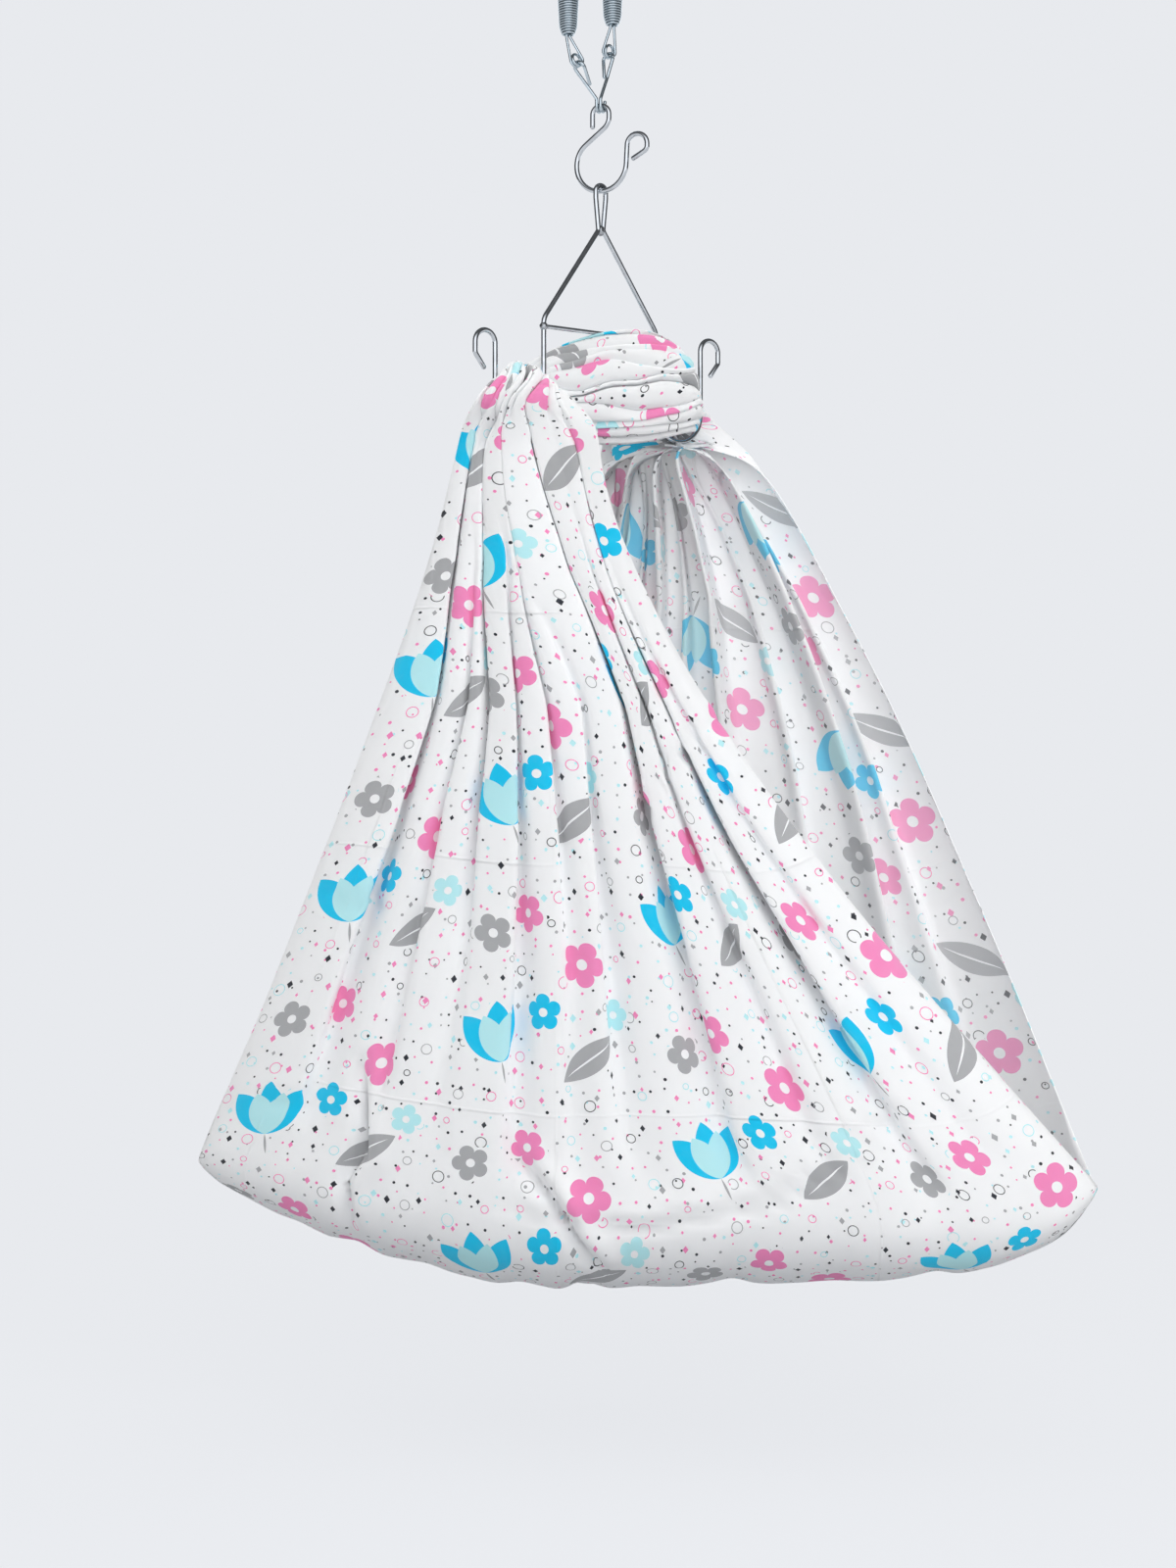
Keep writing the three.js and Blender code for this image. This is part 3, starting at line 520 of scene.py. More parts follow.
def nearest(distances):
    """The least of some numbers in a node tree."""
    return reduce(Number.least, distances)


def finished_surface(name, principled, draw):
    """A material. draw(nodes) returns what its shader's sockets are linked to."""
    made = bpy.data.materials.new(name)
    made.use_nodes = True
    nodes = Nodes(made.node_tree)
    shader = nodes.add("ShaderNodeBsdfPrincipled", None, {**principled, **draw(nodes)})
    nodes.add("ShaderNodeOutputMaterial", None, {"Surface": nodes.number(shader)})
    return made


# Plated wire. The first three are how many there are in a metre.
MOTTLE = 140.0
MARKS = 900.0
PITS = 420.0
MOTTLE_START, MOTTLE_GAIN = 0.3, 2.2
PIT_WIDTH, PIT_ROUGHNESS = 0.18, 0.5
DENTS = (0.03, 0.1 * MM)  # strength, height


def plated(name, shade, dark, roughness, grain):
    """Plated steel wire: a soft mottle, faint drawing marks and small rough pits."""

    def draw(nodes):
        place = nodes.out("ShaderNodeTexCoord", output="Object")
        mottle = nodes.speckle(place, MOTTLE, detail=3.0)
        marks = nodes.speckle(place, MARKS, detail=2.0)
        pits = nodes.out("ShaderNodeTexVoronoi", None, {"Vector": place, "Scale": PITS})
        share = ((mottle - MOTTLE_START) * MOTTLE_GAIN).clamped()
        rough = roughness + (marks - 0.5) * grain + (PIT_WIDTH - pits).most(0.0) * PIT_ROUGHNESS
        return {
            "Base Color": nodes.mixed(share, dark, shade),
            "Roughness": rough.clamped(),
            "Normal": nodes.bump(mottle, *DENTS),
        }

    return finished_surface(name, {"Metallic": 1.0}, draw)


COTTON = {
    "Roughness": 0.85,
    "Sheen Weight": 0.1,
    "Sheen Roughness": 0.5,
    "Specular IOR Level": 0.2,
    "Subsurface Weight": 0.7,
    "Subsurface Radius": (1.0, 1.0, 1.0),
    "Subsurface Scale": 4.5 * MM,
}


def cotton(name, cloth, loop, strength):
    """Printed cotton. strength is how strong the print's ink is on this face."""
    white = tuple(cloth.white)

    def ink(shade):
        return tuple(w + (s - w) * strength for w, s in zip(white, shade))

    def draw(nodes):
        place = nodes.out("ShaderNodeUVMap", {"uv_map": "Cloth"})
        shade = printed(nodes, place, cloth, loop, ink)
        return {"Base Color": shade, "Normal": woven(nodes, place, cloth)}

    return finished_surface(name, COTTON, draw)


# The print, on a tile that repeats with a half drop. Places and sizes are in metres on the tile,
# turns in radians.
TILE = (0.204, 0.192)
TULIP = ((0.056, 0.042), 0.22)  # foot, turn
LEAF = ((0.152, 0.046), -0.95)  # centre, turn
LEAF_HALVES = (11.5 * MM, 31 * MM)
VEIN_HALVES = (0.8 * MM, 25 * MM)
# Petals and stalk: length, half width
DEEP_PETAL = (50 * MM, 12 * MM)
PALE_PETAL = (41 * MM, 10.5 * MM)
STALK = (19 * MM, 1.1 * MM)
# How far each leans from the tulip's own turn. The stalk points down.
DEEP_LEANS = (-0.62, 0.62, 0.0)
PALE_LEANS = (-0.3, 0.3)
STALK_LEAN = math.pi + 0.15
# Blossoms: centre, radius, turn, colour
BLOSSOMS = (
    ((0.146, 0.122), 19 * MM, 0.4, "pink"),
    ((0.040, 0.146), 16 * MM, 1.3, "grey"),
    ((0.108, 0.084), 15 * MM, 2.2, "sky"),
    ((0.094, 0.164), 16 * MM, 0.9, "pink"),
    ((0.184, 0.080), 13 * MM, 2.9, "pale"),
)
BLOSSOM_LOBES = 5
BLOSSOM_WAVE_SHARE = 0.4
BLOSSOM_ROUNDNESS = 0.55
BLOSSOM_EYE_SHARE = 0.24
# Small print: its kind, the cell each one lies in, its size, and how far it strays in its cell
SMALL_PRINT = (
    ("dot", 17 * MM, 1.35 * MM, 0.8),
    ("diamond", 31 * MM, 3.4 * MM, 0.7),
    ("ring", 44 * MM, 4.6 * MM, 0.55),
)
SMALL_LEAST, SMALL_SPREAD = 0.65, 0.7  # sizes, as shares of the size above
SMALL_TINTS = ((0.28, "pink"), (0.62, "grey"), (0.8, "pale"))  # from which chance on
DIAMOND_STRETCH = 1.3
RING_LINE = 0.48 * MM
CLEAR_GROUND = 3 * MM
INK_UNEVEN = 0.10
INK_SHADOW = srgb(214, 220, 228)


def lens(x, y, centre, half_width, half_height, turn):
    """Signed distance to a leaf shape, pointed at both ends."""
    radius = (half_width**2 + half_height**2) / (2 * half_width)
    c, s = math.cos(turn), math.sin(turn)
    dx, dy = x - centre[0], y - centre[1]
    side = abs(dx * c + dy * s) + (radius - half_width)
    along = dy * c - dx * s
    return length_of(side, along) - radius


def blossom(x, y, centre, radius, turn):
    """Signed distance to a flower with round petals, and the distance from its middle."""
    dx, dy = x - centre[0], y - centre[1]
    away = length_of(dx, dy)
    angle = dy.angle_from(dx)
    wave = abs((angle * (BLOSSOM_LOBES / 2) + turn).cosine()).power(BLOSSOM_ROUNDNESS)
    return away - (wave * BLOSSOM_WAVE_SHARE + (1 - BLOSSOM_WAVE_SHARE)) * radius, away


def petals(x, y, foot, turns, length, half_width):
    """Signed distance to the nearest of some petals that stand on one foot."""
    half = length / 2
    x_foot, y_foot = foot
    middles = [(x_foot - math.sin(turn) * half, y_foot + math.cos(turn) * half) for turn in turns]
    found = [lens(x, y, at, half_width, half, turn) for at, turn in zip(middles, turns)]
    return nearest(found)


def printed(nodes, place, cloth, loop, ink):
    """The print's colour on the flat cloth. A whole number of tiles goes round the loop."""
    u, v, _ = nodes.parts(place)
    column = u / (TILE[0] * cloth.print_size)
    tiles = max(1, round(loop / (TILE[1] * cloth.print_size)))
    x = column.fraction() * TILE[0]
    y = (column.floor() * 0.5 - v * (tiles / loop)).fraction() * TILE[1]

    # Tulip: three deep petals and a stalk behind two pale petals
    foot, turn = TULIP
    deep = petals(x, y, foot, [turn + lean for lean in DEEP_LEANS], *DEEP_PETAL)
    pale = petals(x, y, foot, [turn + lean for lean in PALE_LEANS], *PALE_PETAL)
    stalk = petals(x, y, foot, [turn + STALK_LEAN], *STALK)
    # Leaf: grey, with a pale vein
    centre, turn = LEAF
    leaf = lens(x, y, centre, *LEAF_HALVES, turn)
    vein = lens(x, y, centre, *VEIN_HALVES, turn)
    layers = [(stalk < 0, "grey"), (deep < 0, "sky"), (pale < 0, "pale")]
    layers += [(leaf < 0, "grey"), (vein < 0, "white")]
    motifs = [deep, stalk, leaf]
    for centre, radius, turn, tint in BLOSSOMS:
        flower, away = blossom(x, y, centre, radius, turn)
        layers += [(flower < 0, tint), (away < radius * BLOSSOM_EYE_SHARE, "white")]
        motifs.append(flower)
    clear = nearest(motifs) > CLEAR_GROUND

    # Small print in the free ground: dots, diamonds and rings
    shade = ink(cloth.white)
    for kind, cell, size, scatter in SMALL_PRINT:
        su, sv = u + cell, v + cell * 3
        cells = nodes.add(
            "ShaderNodeTexVoronoi",
            {"voronoi_dimensions": "2D"},
            {"Vector": nodes.join(su, sv), "Scale": 1 / cell, "Randomness": scatter},
        )
        chance, spread, _ = nodes.parts(nodes.number(cells, 1))
        away = nodes.number(cells) * cell
        grown = (spread * SMALL_SPREAD + SMALL_LEAST) * size
        if kind == "dot":
            mask = away < grown
        elif kind == "ring":
            mask = abs(away - grown) < RING_LINE
        else:
            px, py, _ = nodes.parts(nodes.number(cells, 2))
            mask = (abs(su - px) * DIAMOND_STRETCH + abs(sv - py)) < grown
        tint = ink(cloth.dark)
        for least, name in SMALL_TINTS:
            tint = nodes.mixed(chance > least, tint, ink(getattr(cloth, name)))
        shade = nodes.mixed(mask * clear, shade, tint)
    for mask, name in layers:
        shade = nodes.mixed(mask, shade, ink(getattr(cloth, name)))
    uneven = nodes.speckle(place, scale=60.0, detail=4.0)
    return nodes.mixed(((uneven - 0.5) * INK_UNEVEN).clamped(), shade, INK_SHADOW)


# The cotton's relief: heights of its parts, and what they measure
THREAD = 0.55 * MM
WEAVE_HEIGHT = 0.04 * MM
HEM_HEIGHT = 0.4 * MM
STITCH_HEIGHT = 0.3 * MM
STITCH_PITCH = 3.2 * MM
STITCH_SHARE = 0.7  # of its pitch
STITCH_HALF = 0.45 * MM
SEAM_SHARE = 0.8  # where the stitches run, of the hem's width
PACKING_HEIGHT = 1.1 * MM
PACKING_HALF = 2.2 * MM
PACKING = ((0.34, 0.11), (0.262, 0.05))  # gap and shift of the creases, in u and in v
PATCH_START, PATCH_GAIN = 0.45, 6
SOFT_HEIGHT = 1.2 * MM


def woven(nodes, place, cloth):
    """Weave, hem, stitching and packing creases as bump."""
    u, v, _ = nodes.parts(place)
    thread = 2 * math.pi / THREAD
    height = (u * thread).sine() * (v * thread).sine() * WEAVE_HEIGHT
    edge = u.least(cloth.width - u)  # distance in from the nearer selvedge
    on_seam = abs(edge - cloth.hem * SEAM_SHARE) < STITCH_HALF
    height = height + (edge < cloth.hem) * HEM_HEIGHT
    height = height + on_seam * ((v / STITCH_PITCH).fraction() < STITCH_SHARE) * STITCH_HEIGHT
    patches = nodes.speckle(place, scale=5.0, detail=1.0)
    patches = ((patches - PATCH_START) * PATCH_GAIN).clamped()
    for value, (gap, shift) in zip((u, v), PACKING):
        away = abs(((value + shift) / gap).fraction() - 0.5) * gap
        height = height + (1 - away / PACKING_HALF).clamped() * PACKING_HEIGHT * patches
    soft = nodes.speckle(place, scale=26.0, detail=4.0) * SOFT_HEIGHT
    return nodes.bump(height + soft)


def geometry_tree(name, lengths, counts):
    """A tree that is given a geometry, lengths, counts and a material, and what it is given."""
    tree = bpy.data.node_groups.new(name, "GeometryNodeTree")
    kinds = {"Geometry": "Geometry", "Material": "Material"}
    kinds.update(dict.fromkeys(lengths, "Float"))
    kinds.update(dict.fromkeys(counts, "Int"))
    for label, kind in kinds.items():
        tree.interface.new_socket(label, in_out="INPUT", socket_type="NodeSocket" + kind)
    tree.interface.new_socket("Geometry", in_out="OUTPUT", socket_type="NodeSocketGeometry")
    nodes = Nodes(tree)
    given = nodes.add("NodeGroupInput")
    return tree, nodes, {label: nodes.number(given, label) for label in kinds}


def wire_tree():
    """Geometry Nodes: a round wire along a line of points, with rounded ends."""
    tree, nodes, given = geometry_tree("Round wire", ["Diameter"], ["Sides"])
    line = nodes.out("GeometryNodeMeshToCurve", None, {0: given["Geometry"]})
    sweep(nodes, line, given)
    return tree


def sweep(nodes, line, given):
    """The end of a wire's tree: its round section swept along the line."""
    girth = nodes.out("GeometryNodeInputNamedAttribute", {"data_type": "FLOAT"}, {0: "girth"})
    section = {"Resolution": given["Sides"], "Radius": given["Diameter"] * 0.5}
    ring = nodes.out("GeometryNodeCurvePrimitiveCircle", None, section)
    sockets = {0: line, 1: ring, "Scale": girth, "Fill Caps": True}
    wire = nodes.out("GeometryNodeCurveToMesh", None, sockets)
    wire = nodes.out("GeometryNodeSetShadeSmooth", None, {0: wire})
    wire = nodes.out("GeometryNodeRealizeInstances", None, {0: wire})
    wire = nodes.out("GeometryNodeSetMaterial", None, {0: wire, "Material": given["Material"]})
    nodes.add("NodeGroupOutput", None, {0: wire})


def spring_tree():
    """Geometry Nodes: a close-wound spring with coned ends, up from the origin."""
    lengths = ("Length", "Body", "Shoulder", "Mouth", "Taper", "Cone", "Diameter")
    counts = ("Turns", "Steps", "Sides")
    tree, nodes, given = geometry_tree("Close-wound spring", lengths, counts)
    line = nodes.out("GeometryNodeCurvePrimitiveLine", None, {"End": (0, 0, 1)})
    points = given["Turns"] * given["Steps"]
    coil = nodes.out("GeometryNodeResampleCurve", {"mode": "COUNT"}, {0: line, "Count": points})
    share = nodes.out("GeometryNodeSplineParameter")
    height = share * given["Length"]
    from_end = height.least(given["Length"] - height)
    cone = (from_end / given["Cone"]).clamped() * QUARTER
    taper = from_end.ramp(given["Cone"], given["Taper"])
    radius = given["Mouth"] + cone.sine() * (given["Shoulder"] - given["Mouth"])
    radius = radius + taper * (given["Body"] - given["Shoulder"])
    angle = share * given["Turns"] * (2 * math.pi)
    place = nodes.join(angle.cosine() * radius, angle.sine() * radius, height)
    wound = nodes.out("GeometryNodeSetPosition", None, {0: coil, "Position": place})
    ends = (from_end / SPRING_ROUND_END + SPRING_END_SHARE).clamped()
    kept = nodes.out(
        "GeometryNodeStoreNamedAttribute",
        {"data_type": "FLOAT", "domain": "POINT"},
        {0: wound, "Name": "girth", "Value": ends},
    )
    sweep(nodes, kept, given)
    return tree


def made_by(tree, source, name, inputs):
    """A plain mesh object from a tree that runs on a source object."""
    modifier = source.modifiers.new("make", "NODES")
    modifier.node_group = tree
    for item in tree.interface.items_tree:
        if item.in_out == "INPUT" and item.name in inputs:
            modifier[item.identifier] = inputs[item.name]
    bpy.context.view_layer.update()
    graph = bpy.context.evaluated_depsgraph_get()
    mesh = bpy.data.meshes.new_from_object(source.evaluated_get(graph))
    bpy.data.objects.remove(source)
    mesh.name = name
    return placed(name, mesh)


def placed(name, data):
    """A new object in the scene, at the origin."""
    made = bpy.data.objects.new(name, data)
    bpy.context.scene.collection.objects.link(made)
    return made


# Bent wires


def bent_wire(corners, step=math.radians(6)):
    """Points along a bent wire: (point, bend radius) at each corner, straight between them."""
    points = [corners[0][0].copy()]
    for i in range(1, len(corners) - 1):
        corner, radius = corners[i]
        into = (corner - corners[i - 1][0]).normalized()
        out = (corners[i + 1][0] - corner).normalized()
        turn = into.angle(out)
        axis = into.cross(out).normalized()
        start = corner - into * (radius * math.tan(turn / 2))
        centre = start + axis.cross(into) * radius
        steps = max(2, math.ceil(turn / step))
        for k in range(steps + 1):
            spoke = Matrix.Rotation(turn * k / steps, 3, axis) @ (start - centre)
            point = centre + spoke
            if (point - points[-1]).length > CLEARANCE / 2:
                points.append(point)
    points.append(corners[-1][0].copy())
    return points


def with_round_ends(points, diameter):
    """The points, and how thick the wire is at each, so that its cut ends are rounded."""
    first = (points[1] - points[0]).normalized()
    last = (points[-2] - points[-1]).normalized()
    head = [(points[0] + first * diameter * away, girth) for away, girth in WIRE_END]
    tail = [(points[-1] + last * diameter * away, girth) for away, girth in reversed(WIRE_END)]
    return head + [(point, 1.0) for point in points[1:-1]] + tail


def wire_piece(name, points, diameter, material, context):
    """A round wire through the points."""
    wires = context.scene.cradle_wires
    stations = with_round_ends(points, diameter)
    mesh = bpy.data.meshes.new(name)
    mesh.from_pydata([p for p, _ in stations], [(i, i + 1) for i in range(len(stations) - 1)], [])
    girth = mesh.attributes.new("girth", "FLOAT", "POINT")
    girth.data.foreach_set("value", [g for _, g in stations])
    tree = bpy.data.node_groups.get("Round wire") or wire_tree()
    source = placed(name + "_line", mesh)
    inputs = {"Diameter": diameter, "Sides": wires.sides, "Material": material}
    return made_by(tree, source, name, inputs)


def stand_in(piece, body, slot, *nodes):
    """The piece rides on its body and stands for its CAD nodes."""
    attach(piece, body)
    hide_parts(*nodes)


def corner(x, z, radius=0):
    """A corner of a wire bent in one plane, and its bend radius."""
    return Vector((x, 0, z)), radius


def s_hook_points():
    """The S-hook in its own plane, from the tail at its eye to the end of its curl."""
    eye, bend = SHOOK_EYE_RADIUS, SHOOK_BEND_RADIUS
    low = -SHOOK_CENTRES - bend
    curl = bend + SHOOK_CURL_LEAN
    far = curl + 2 * SHOOK_CURL_RADIUS
    curl_low = -SHOOK_CURL_TOP - SHOOK_CURL_HEIGHT
    return bent_wire([
        corner(-eye, -SHOOK_TAIL),
        corner(-eye, eye, eye),
        corner(eye, eye, eye),
        corner(eye, -SHOOK_NECK[0], SHOOK_NECK[1]),
        corner(-bend, -SHOOK_SHOULDER[0], SHOOK_SHOULDER[1]),
        corner(-bend, low, bend),
        corner(bend, low, bend),
        corner(curl, -SHOOK_CURL_TOP, SHOOK_CURL_RADIUS),
        corner(far, -SHOOK_CURL_TOP, SHOOK_CURL_RADIUS),
        corner(far, curl_low, SHOOK_CURL_CORNER),
        corner(far - SHOOK_CURL_END[0], curl_low - SHOOK_CURL_END[1]),
    ])


def upper_bend_z(wires):
    """Height of the centre of the top S-hook's big bend."""
    return wires.hook / 2 - SHOOK_BEND_RADIUS


def hanger_eye_z(wires):
    """Height of the top of the hanger's eye, which hangs in the lower S-hook's bend."""
    bearing = LOWER_ARCH_Z - SHOOK_EYE_RADIUS - SHOOK_CENTRES - SHOOK_BEND_RADIUS
    return bearing + wires.hook + CLEARANCE


class CRADLE_OT_s_hooks(bpy.types.Operator):
    """Makes the top and the lower S-hook"""

    bl_idname = "cradle.s_hooks"
    bl_label = "S-Hooks"

    def execute(self, context):
        wires = context.scene.cradle_wires
        chrome = material_for("chrome", wires)
        over = Matrix.Rotation(math.pi, 4, "X")
        turn = Matrix.Rotation(SHOOK_TURN, 4, "Z")
        top = Matrix.Translation((UPPER_EYE_X, 0, upper_bend_z(wires) - SHOOK_CENTRES))
        low = Matrix.Translation((LOWER_EYE_X, 0, LOWER_ARCH_Z - SHOOK_EYE_RADIUS))
        for node, body, matrix in (
            ("top_s_hook", "root", top @ over @ turn),
            ("lower_s_hook", "lower_hook", low @ turn),
        ):
            points = [matrix @ point for point in s_hook_points()]
            piece = wire_piece(node + "_rod", points, wires.hook, chrome, context)
            stand_in(piece, body, "chrome_wire", node)
        return {"FINISHED"}


def leaned(point, lean):
    """A point of a swivel eye, leaned over with its legs below the spring's mouth."""
    if point.z >= -EYE_STRAIGHT:
        return point
    foot = Vector((0, 0, -EYE_STRAIGHT))
    return foot + Matrix.Rotation(-lean, 3, "Y") @ (point - foot)


def swivel_eye_points(lean, thick):
    """A swivel eye from the middle of its spring's mouth: a foot, a leg, the coil and back up."""
    gap = thick + EYE_COIL_GAP
    half = EYE_TURNS * gap / 2
    leg = [
        Vector((EYE_FOOT, -EYE_COIL_GAP, EYE_FOOT_HEIGHT)),
        Vector((EYE_LEG_HALF + thick / 4, -EYE_COIL_GAP, EYE_FOOT_HEIGHT)),
        Vector((EYE_LEG_HALF, -EYE_COIL_GAP, EYE_FOOT_HEIGHT - thick / 2)),
        Vector((EYE_LEG_HALF, -EYE_COIL_GAP, -EYE_STRAIGHT)),
    ]
    coil = []
    steps = round(EYE_TURNS * EYE_TURN_STEPS)
    for i in range(steps + 1):
        angle = -2 * math.pi * EYE_TURNS * i / steps
        x, z = EYE_RADIUS * math.cos(angle), EYE_RADIUS * math.sin(angle) - EYE_LENGTH
        coil.append(Vector((x, -half + 2 * half * i / steps, z)))
    other_leg = [Vector((-point.x, -point.y, point.z)) for point in reversed(leg)]
    twist = Matrix.Rotation(EYE_TWIST, 3, "Z")
    return [leaned(twist @ point, lean) for point in leg + coil + other_leg]


def link_points(start, bearing, side, wires):
    """A link from an S-hook's eye, whose wire passes start, to a swivel eye's bearing point."""
    along = (bearing - start).normalized()
    around = QUARTER + EYE_TWIST
    across = Vector((math.cos(around), math.sin(around), 0)) * -side
    across = (across - along * across.dot(along)).normalized()
    through = Vector((-math.sin(SHOOK_TURN), math.cos(SHOOK_TURN), 0))
    reach = (wires.eye + wires.link) / 2 + LINK_EYE_ROOM
    hook_radius = (wires.hook + wires.link) / 2 + LINK_HOOK_ROOM
    seat = SHOOK_EYE_RADIUS - LINK_SEAT
    loop = bearing + along * (reach - LINK_LOOP_RADIUS)
    radius = LINK_LOOP_RADIUS

    def at(a, b):
        return loop + across * a + along * b

    def hook(a, b):
        return start + through * a + Vector((0, 0, b))

    return bent_wire([
        (at(wires.link * LINK_END_SHARE, -LINK_THROAT), 0),
        (at(radius, 0), LINK_STEM_RADIUS),
        (at(radius, radius), radius),
        (at(-radius, radius), radius),
        (at(-radius, 0), LINK_STEM_RADIUS),
        (at(-wires.link / 2, -LINK_THROAT), LINK_STEM_RADIUS),
        (hook(-hook_radius, LINK_HOOK_RISE), hook_radius),
        (hook(-hook_radius, -seat), hook_radius),
        (hook(hook_radius, -seat), hook_radius),
        (hook(hook_radius, LINK_HOOK_RISE), 0),
    ])


class CRADLE_OT_links(bpy.types.Operator):
    """Makes the swivel eyes and the links between the springs and the S-hooks"""

    bl_idname = "cradle.links"
    bl_label = "Links and Swivel Eyes"

    def execute(self, context):
        wires = context.scene.cradle_wires
        upper_arch = upper_bend_z(wires) - SHOOK_CENTRES - SHOOK_EYE_RADIUS
        ends = (
            ("lower", "lower_links", Vector((LOWER_EYE_X, 0, LOWER_ARCH_Z)), 1),
            ("upper", "spring_pair", Vector((UPPER_EYE_X, 0, upper_arch)), -1),
        )
        for end, body, arch_at, flip in ends:
            over = Matrix.Identity(4) if flip > 0 else Matrix.Rotation(math.pi, 4, "X")
            for side_name, side in (("left", 1), ("right", -1)):
                x, y, mouth_z = SPRINGS[side_name]
                mouth = Vector((x, y * flip, mouth_z if flip > 0 else -mouth_z - SPRING_LENGTH))
                arch = Vector((arch_at.x, 0, arch_at.z * flip))
                lean = math.atan2(EYE_LEAN_SHARE * (arch.x - mouth.x), EYE_LENGTH)
                eye = [over @ (mouth + point) for point in swivel_eye_points(lean, wires.eye)]
                bearing = mouth + leaned(Vector((0, 0, -EYE_LENGTH - EYE_RADIUS)), lean)
                row = Vector((math.cos(SHOOK_TURN), math.sin(SHOOK_TURN), 0)) * LINK_SPACING
                link = [over @ p for p in link_points(arch - row * side, bearing, side, wires)]
                zinc = material_for("zinc", wires)
                made = (("swivel_eye", eye, wires.eye), ("link", link, wires.link))
                for kind, points, thick in made:
                    node = f"{end}_{side_name}_{kind}"
                    piece = wire_piece(node + "_wire", points, thick, zinc, context)
                    stand_in(piece, body, "zinc_wire", node)
        return {"FINISHED"}


class CRADLE_OT_springs(bpy.types.Operator):
    """Makes the two close-wound springs, which stretch between the upper and the lower links"""

    bl_idname = "cradle.springs"
    bl_label = "Springs"

    def execute(self, context):
        wires = context.scene.cradle_wires
        tree = spring_tree()
        for side, place in SPRINGS.items():
            source = placed(side + "_seed", bpy.data.meshes.new("seed"))
            made = {"Diameter": wires.spring, "Turns": wires.turns}
            made["Material"] = material_for("spring", wires)
            piece = made_by(tree, source, side + "_spring_coil", {**SPRING, **made})
            piece.data.transform(Matrix.Translation(place))
            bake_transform(piece)
            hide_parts(side + "_spring")
        return {"FINISHED"}


def hanger_matrix(wires):
    """From the hanger's own plane to its place in the cradle."""
    place = Matrix.Translation((HANGER_X, 0, hanger_eye_z(wires)))
    return place @ Matrix.Rotation(HANGER_TURN, 4, "Z")


def hanger_corners(side):
    """One half of the hanger's rod, from its eye to the end of its curl."""
    leg = side * HANGER_HALF
    stem = side * (HANGER_HALF + HANGER_HOOK_WIDTH)
    curl = stem + side * 2 * CURL_RADIUS
    neck = side * HANGER_NECK_GAP / 2
    hook = HANGER_HOOK_WIDTH / 2
    eye = HANGER_EYE_WIDTH / 2
    drop = CURL_DROPS[side]
    low = -drop - CURL_RADIUS - CURL_SIDE
    return [
        corner(side * eye, 0, eye),
        corner(side * eye, -2 * eye, HANGER_EYE_BEND),
        corner(neck, -HANGER_NECK_DROP, HANGER_NECK_RADIUS),
        corner(leg, -HANGER_BEND_DROP, HANGER_ELBOW_RADIUS),
        corner(leg, -HANGER_HOOK_DROP, hook),
        corner(stem, -HANGER_HOOK_DROP, hook),
        corner(stem, -drop, CURL_RADIUS),
        corner(curl, -drop, CURL_RADIUS),
        corner(curl, low, CURL_SIDE / 2),
        corner(curl - side * CURL_END[0], low - CURL_END[1]),
    ]


def weld_bead(name, places, material):
    """Weld metal: a lumpy ball at each place, all in one piece."""
    mesh = bpy.data.meshes.new(name)
    verts, faces = [], []
    rings, sides = WELD_RINGS, WELD_SIDES
    for at, stretch in places:
        base = len(verts)
        for i in range(rings + 1):
            polar = math.pi * i / rings
            across, up = math.sin(polar), math.cos(polar)
            for j in range(sides):
                turn = 2 * math.pi * j / sides
                way = Vector((across * math.cos(turn), across * math.sin(turn), up))
                lump = 1 + WELD_LUMPS * noise.noise(way * WELD_LUMP_COUNT + at * WELD_SHIFT)
                spot = Vector(a * b for a, b in zip(way, stretch))
                verts.append(at + spot * (WELD_SIZE / 2 * lump))
        for i in range(rings):
            for j in range(sides):
                a, b = base + i * sides + j, base + i * sides + (j + 1) % sides
                faces.append((a, a + sides, b + sides, b))
    mesh.from_pydata(verts, [], faces)
    mesh.validate()
    mesh.materials.append(material)
    mesh.polygons.foreach_set("use_smooth", [True] * len(mesh.polygons))
    return placed(name, mesh)


class CRADLE_OT_hanger(bpy.types.Operator):
    """Makes the bent hanger with its crossbar and welds"""

    bl_idname = "cradle.hanger"
    bl_label = "Hanger"

    def execute(self, context):
        wires = context.scene.cradle_wires
        chrome = material_for("chrome", wires)
        matrix = hanger_matrix(wires)

        def at(x, drop):
            return matrix @ Vector((x, 0, -drop))

        corners = hanger_corners(-1)[::-1] + hanger_corners(1)
        points = [matrix @ point for point in bent_wire(corners)]
        rod = wire_piece("hanger_bent_rod", points, wires.hook, chrome, context)
        stand_in(rod, "hanger", "chrome_wire", "hanger_rod")
        half = HANGER_HALF - wires.hook * CROSSBAR_SINK
        left, right = at(-half, CROSSBAR_DROP), at(half, CROSSBAR_DROP)
        points = [left, (left + right) / 2, right]
        bar = wire_piece("hanger_crossbar_rod", points, wires.crossbar, chrome, context)
        stand_in(bar, "hanger", "chrome_wire", "hanger_crossbar")
        welds = [(at(side * HANGER_HALF, CROSSBAR_DROP), LEG_WELD) for side in (-1, 1)]
        welds.append((at(0, HANGER_NECK_DROP), NECK_WELD))
        beads = weld_bead("hanger_welds", welds, material_for("weld", wires))
        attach(beads, "hanger")
        return {"FINISHED"}


def dimmed(shade, share):
    """A share of a colour."""
    return tuple(share * part for part in shade)


# Each finish: its colour, the shares of it in its bright and its dark mottle, how rough it is, and
# how much that varies
FINISHES = {
    "chrome": ("chrome", 1.0, 0.8, 0.09, 0.05),
    "zinc": ("zinc", 1.0, 0.8, 0.2, 0.1),
    "spring": ("zinc", 0.92, 0.8, 0.22, 0.1),
    "weld": ("chrome", 0.8, 0.45, 0.3, 0.15),
}


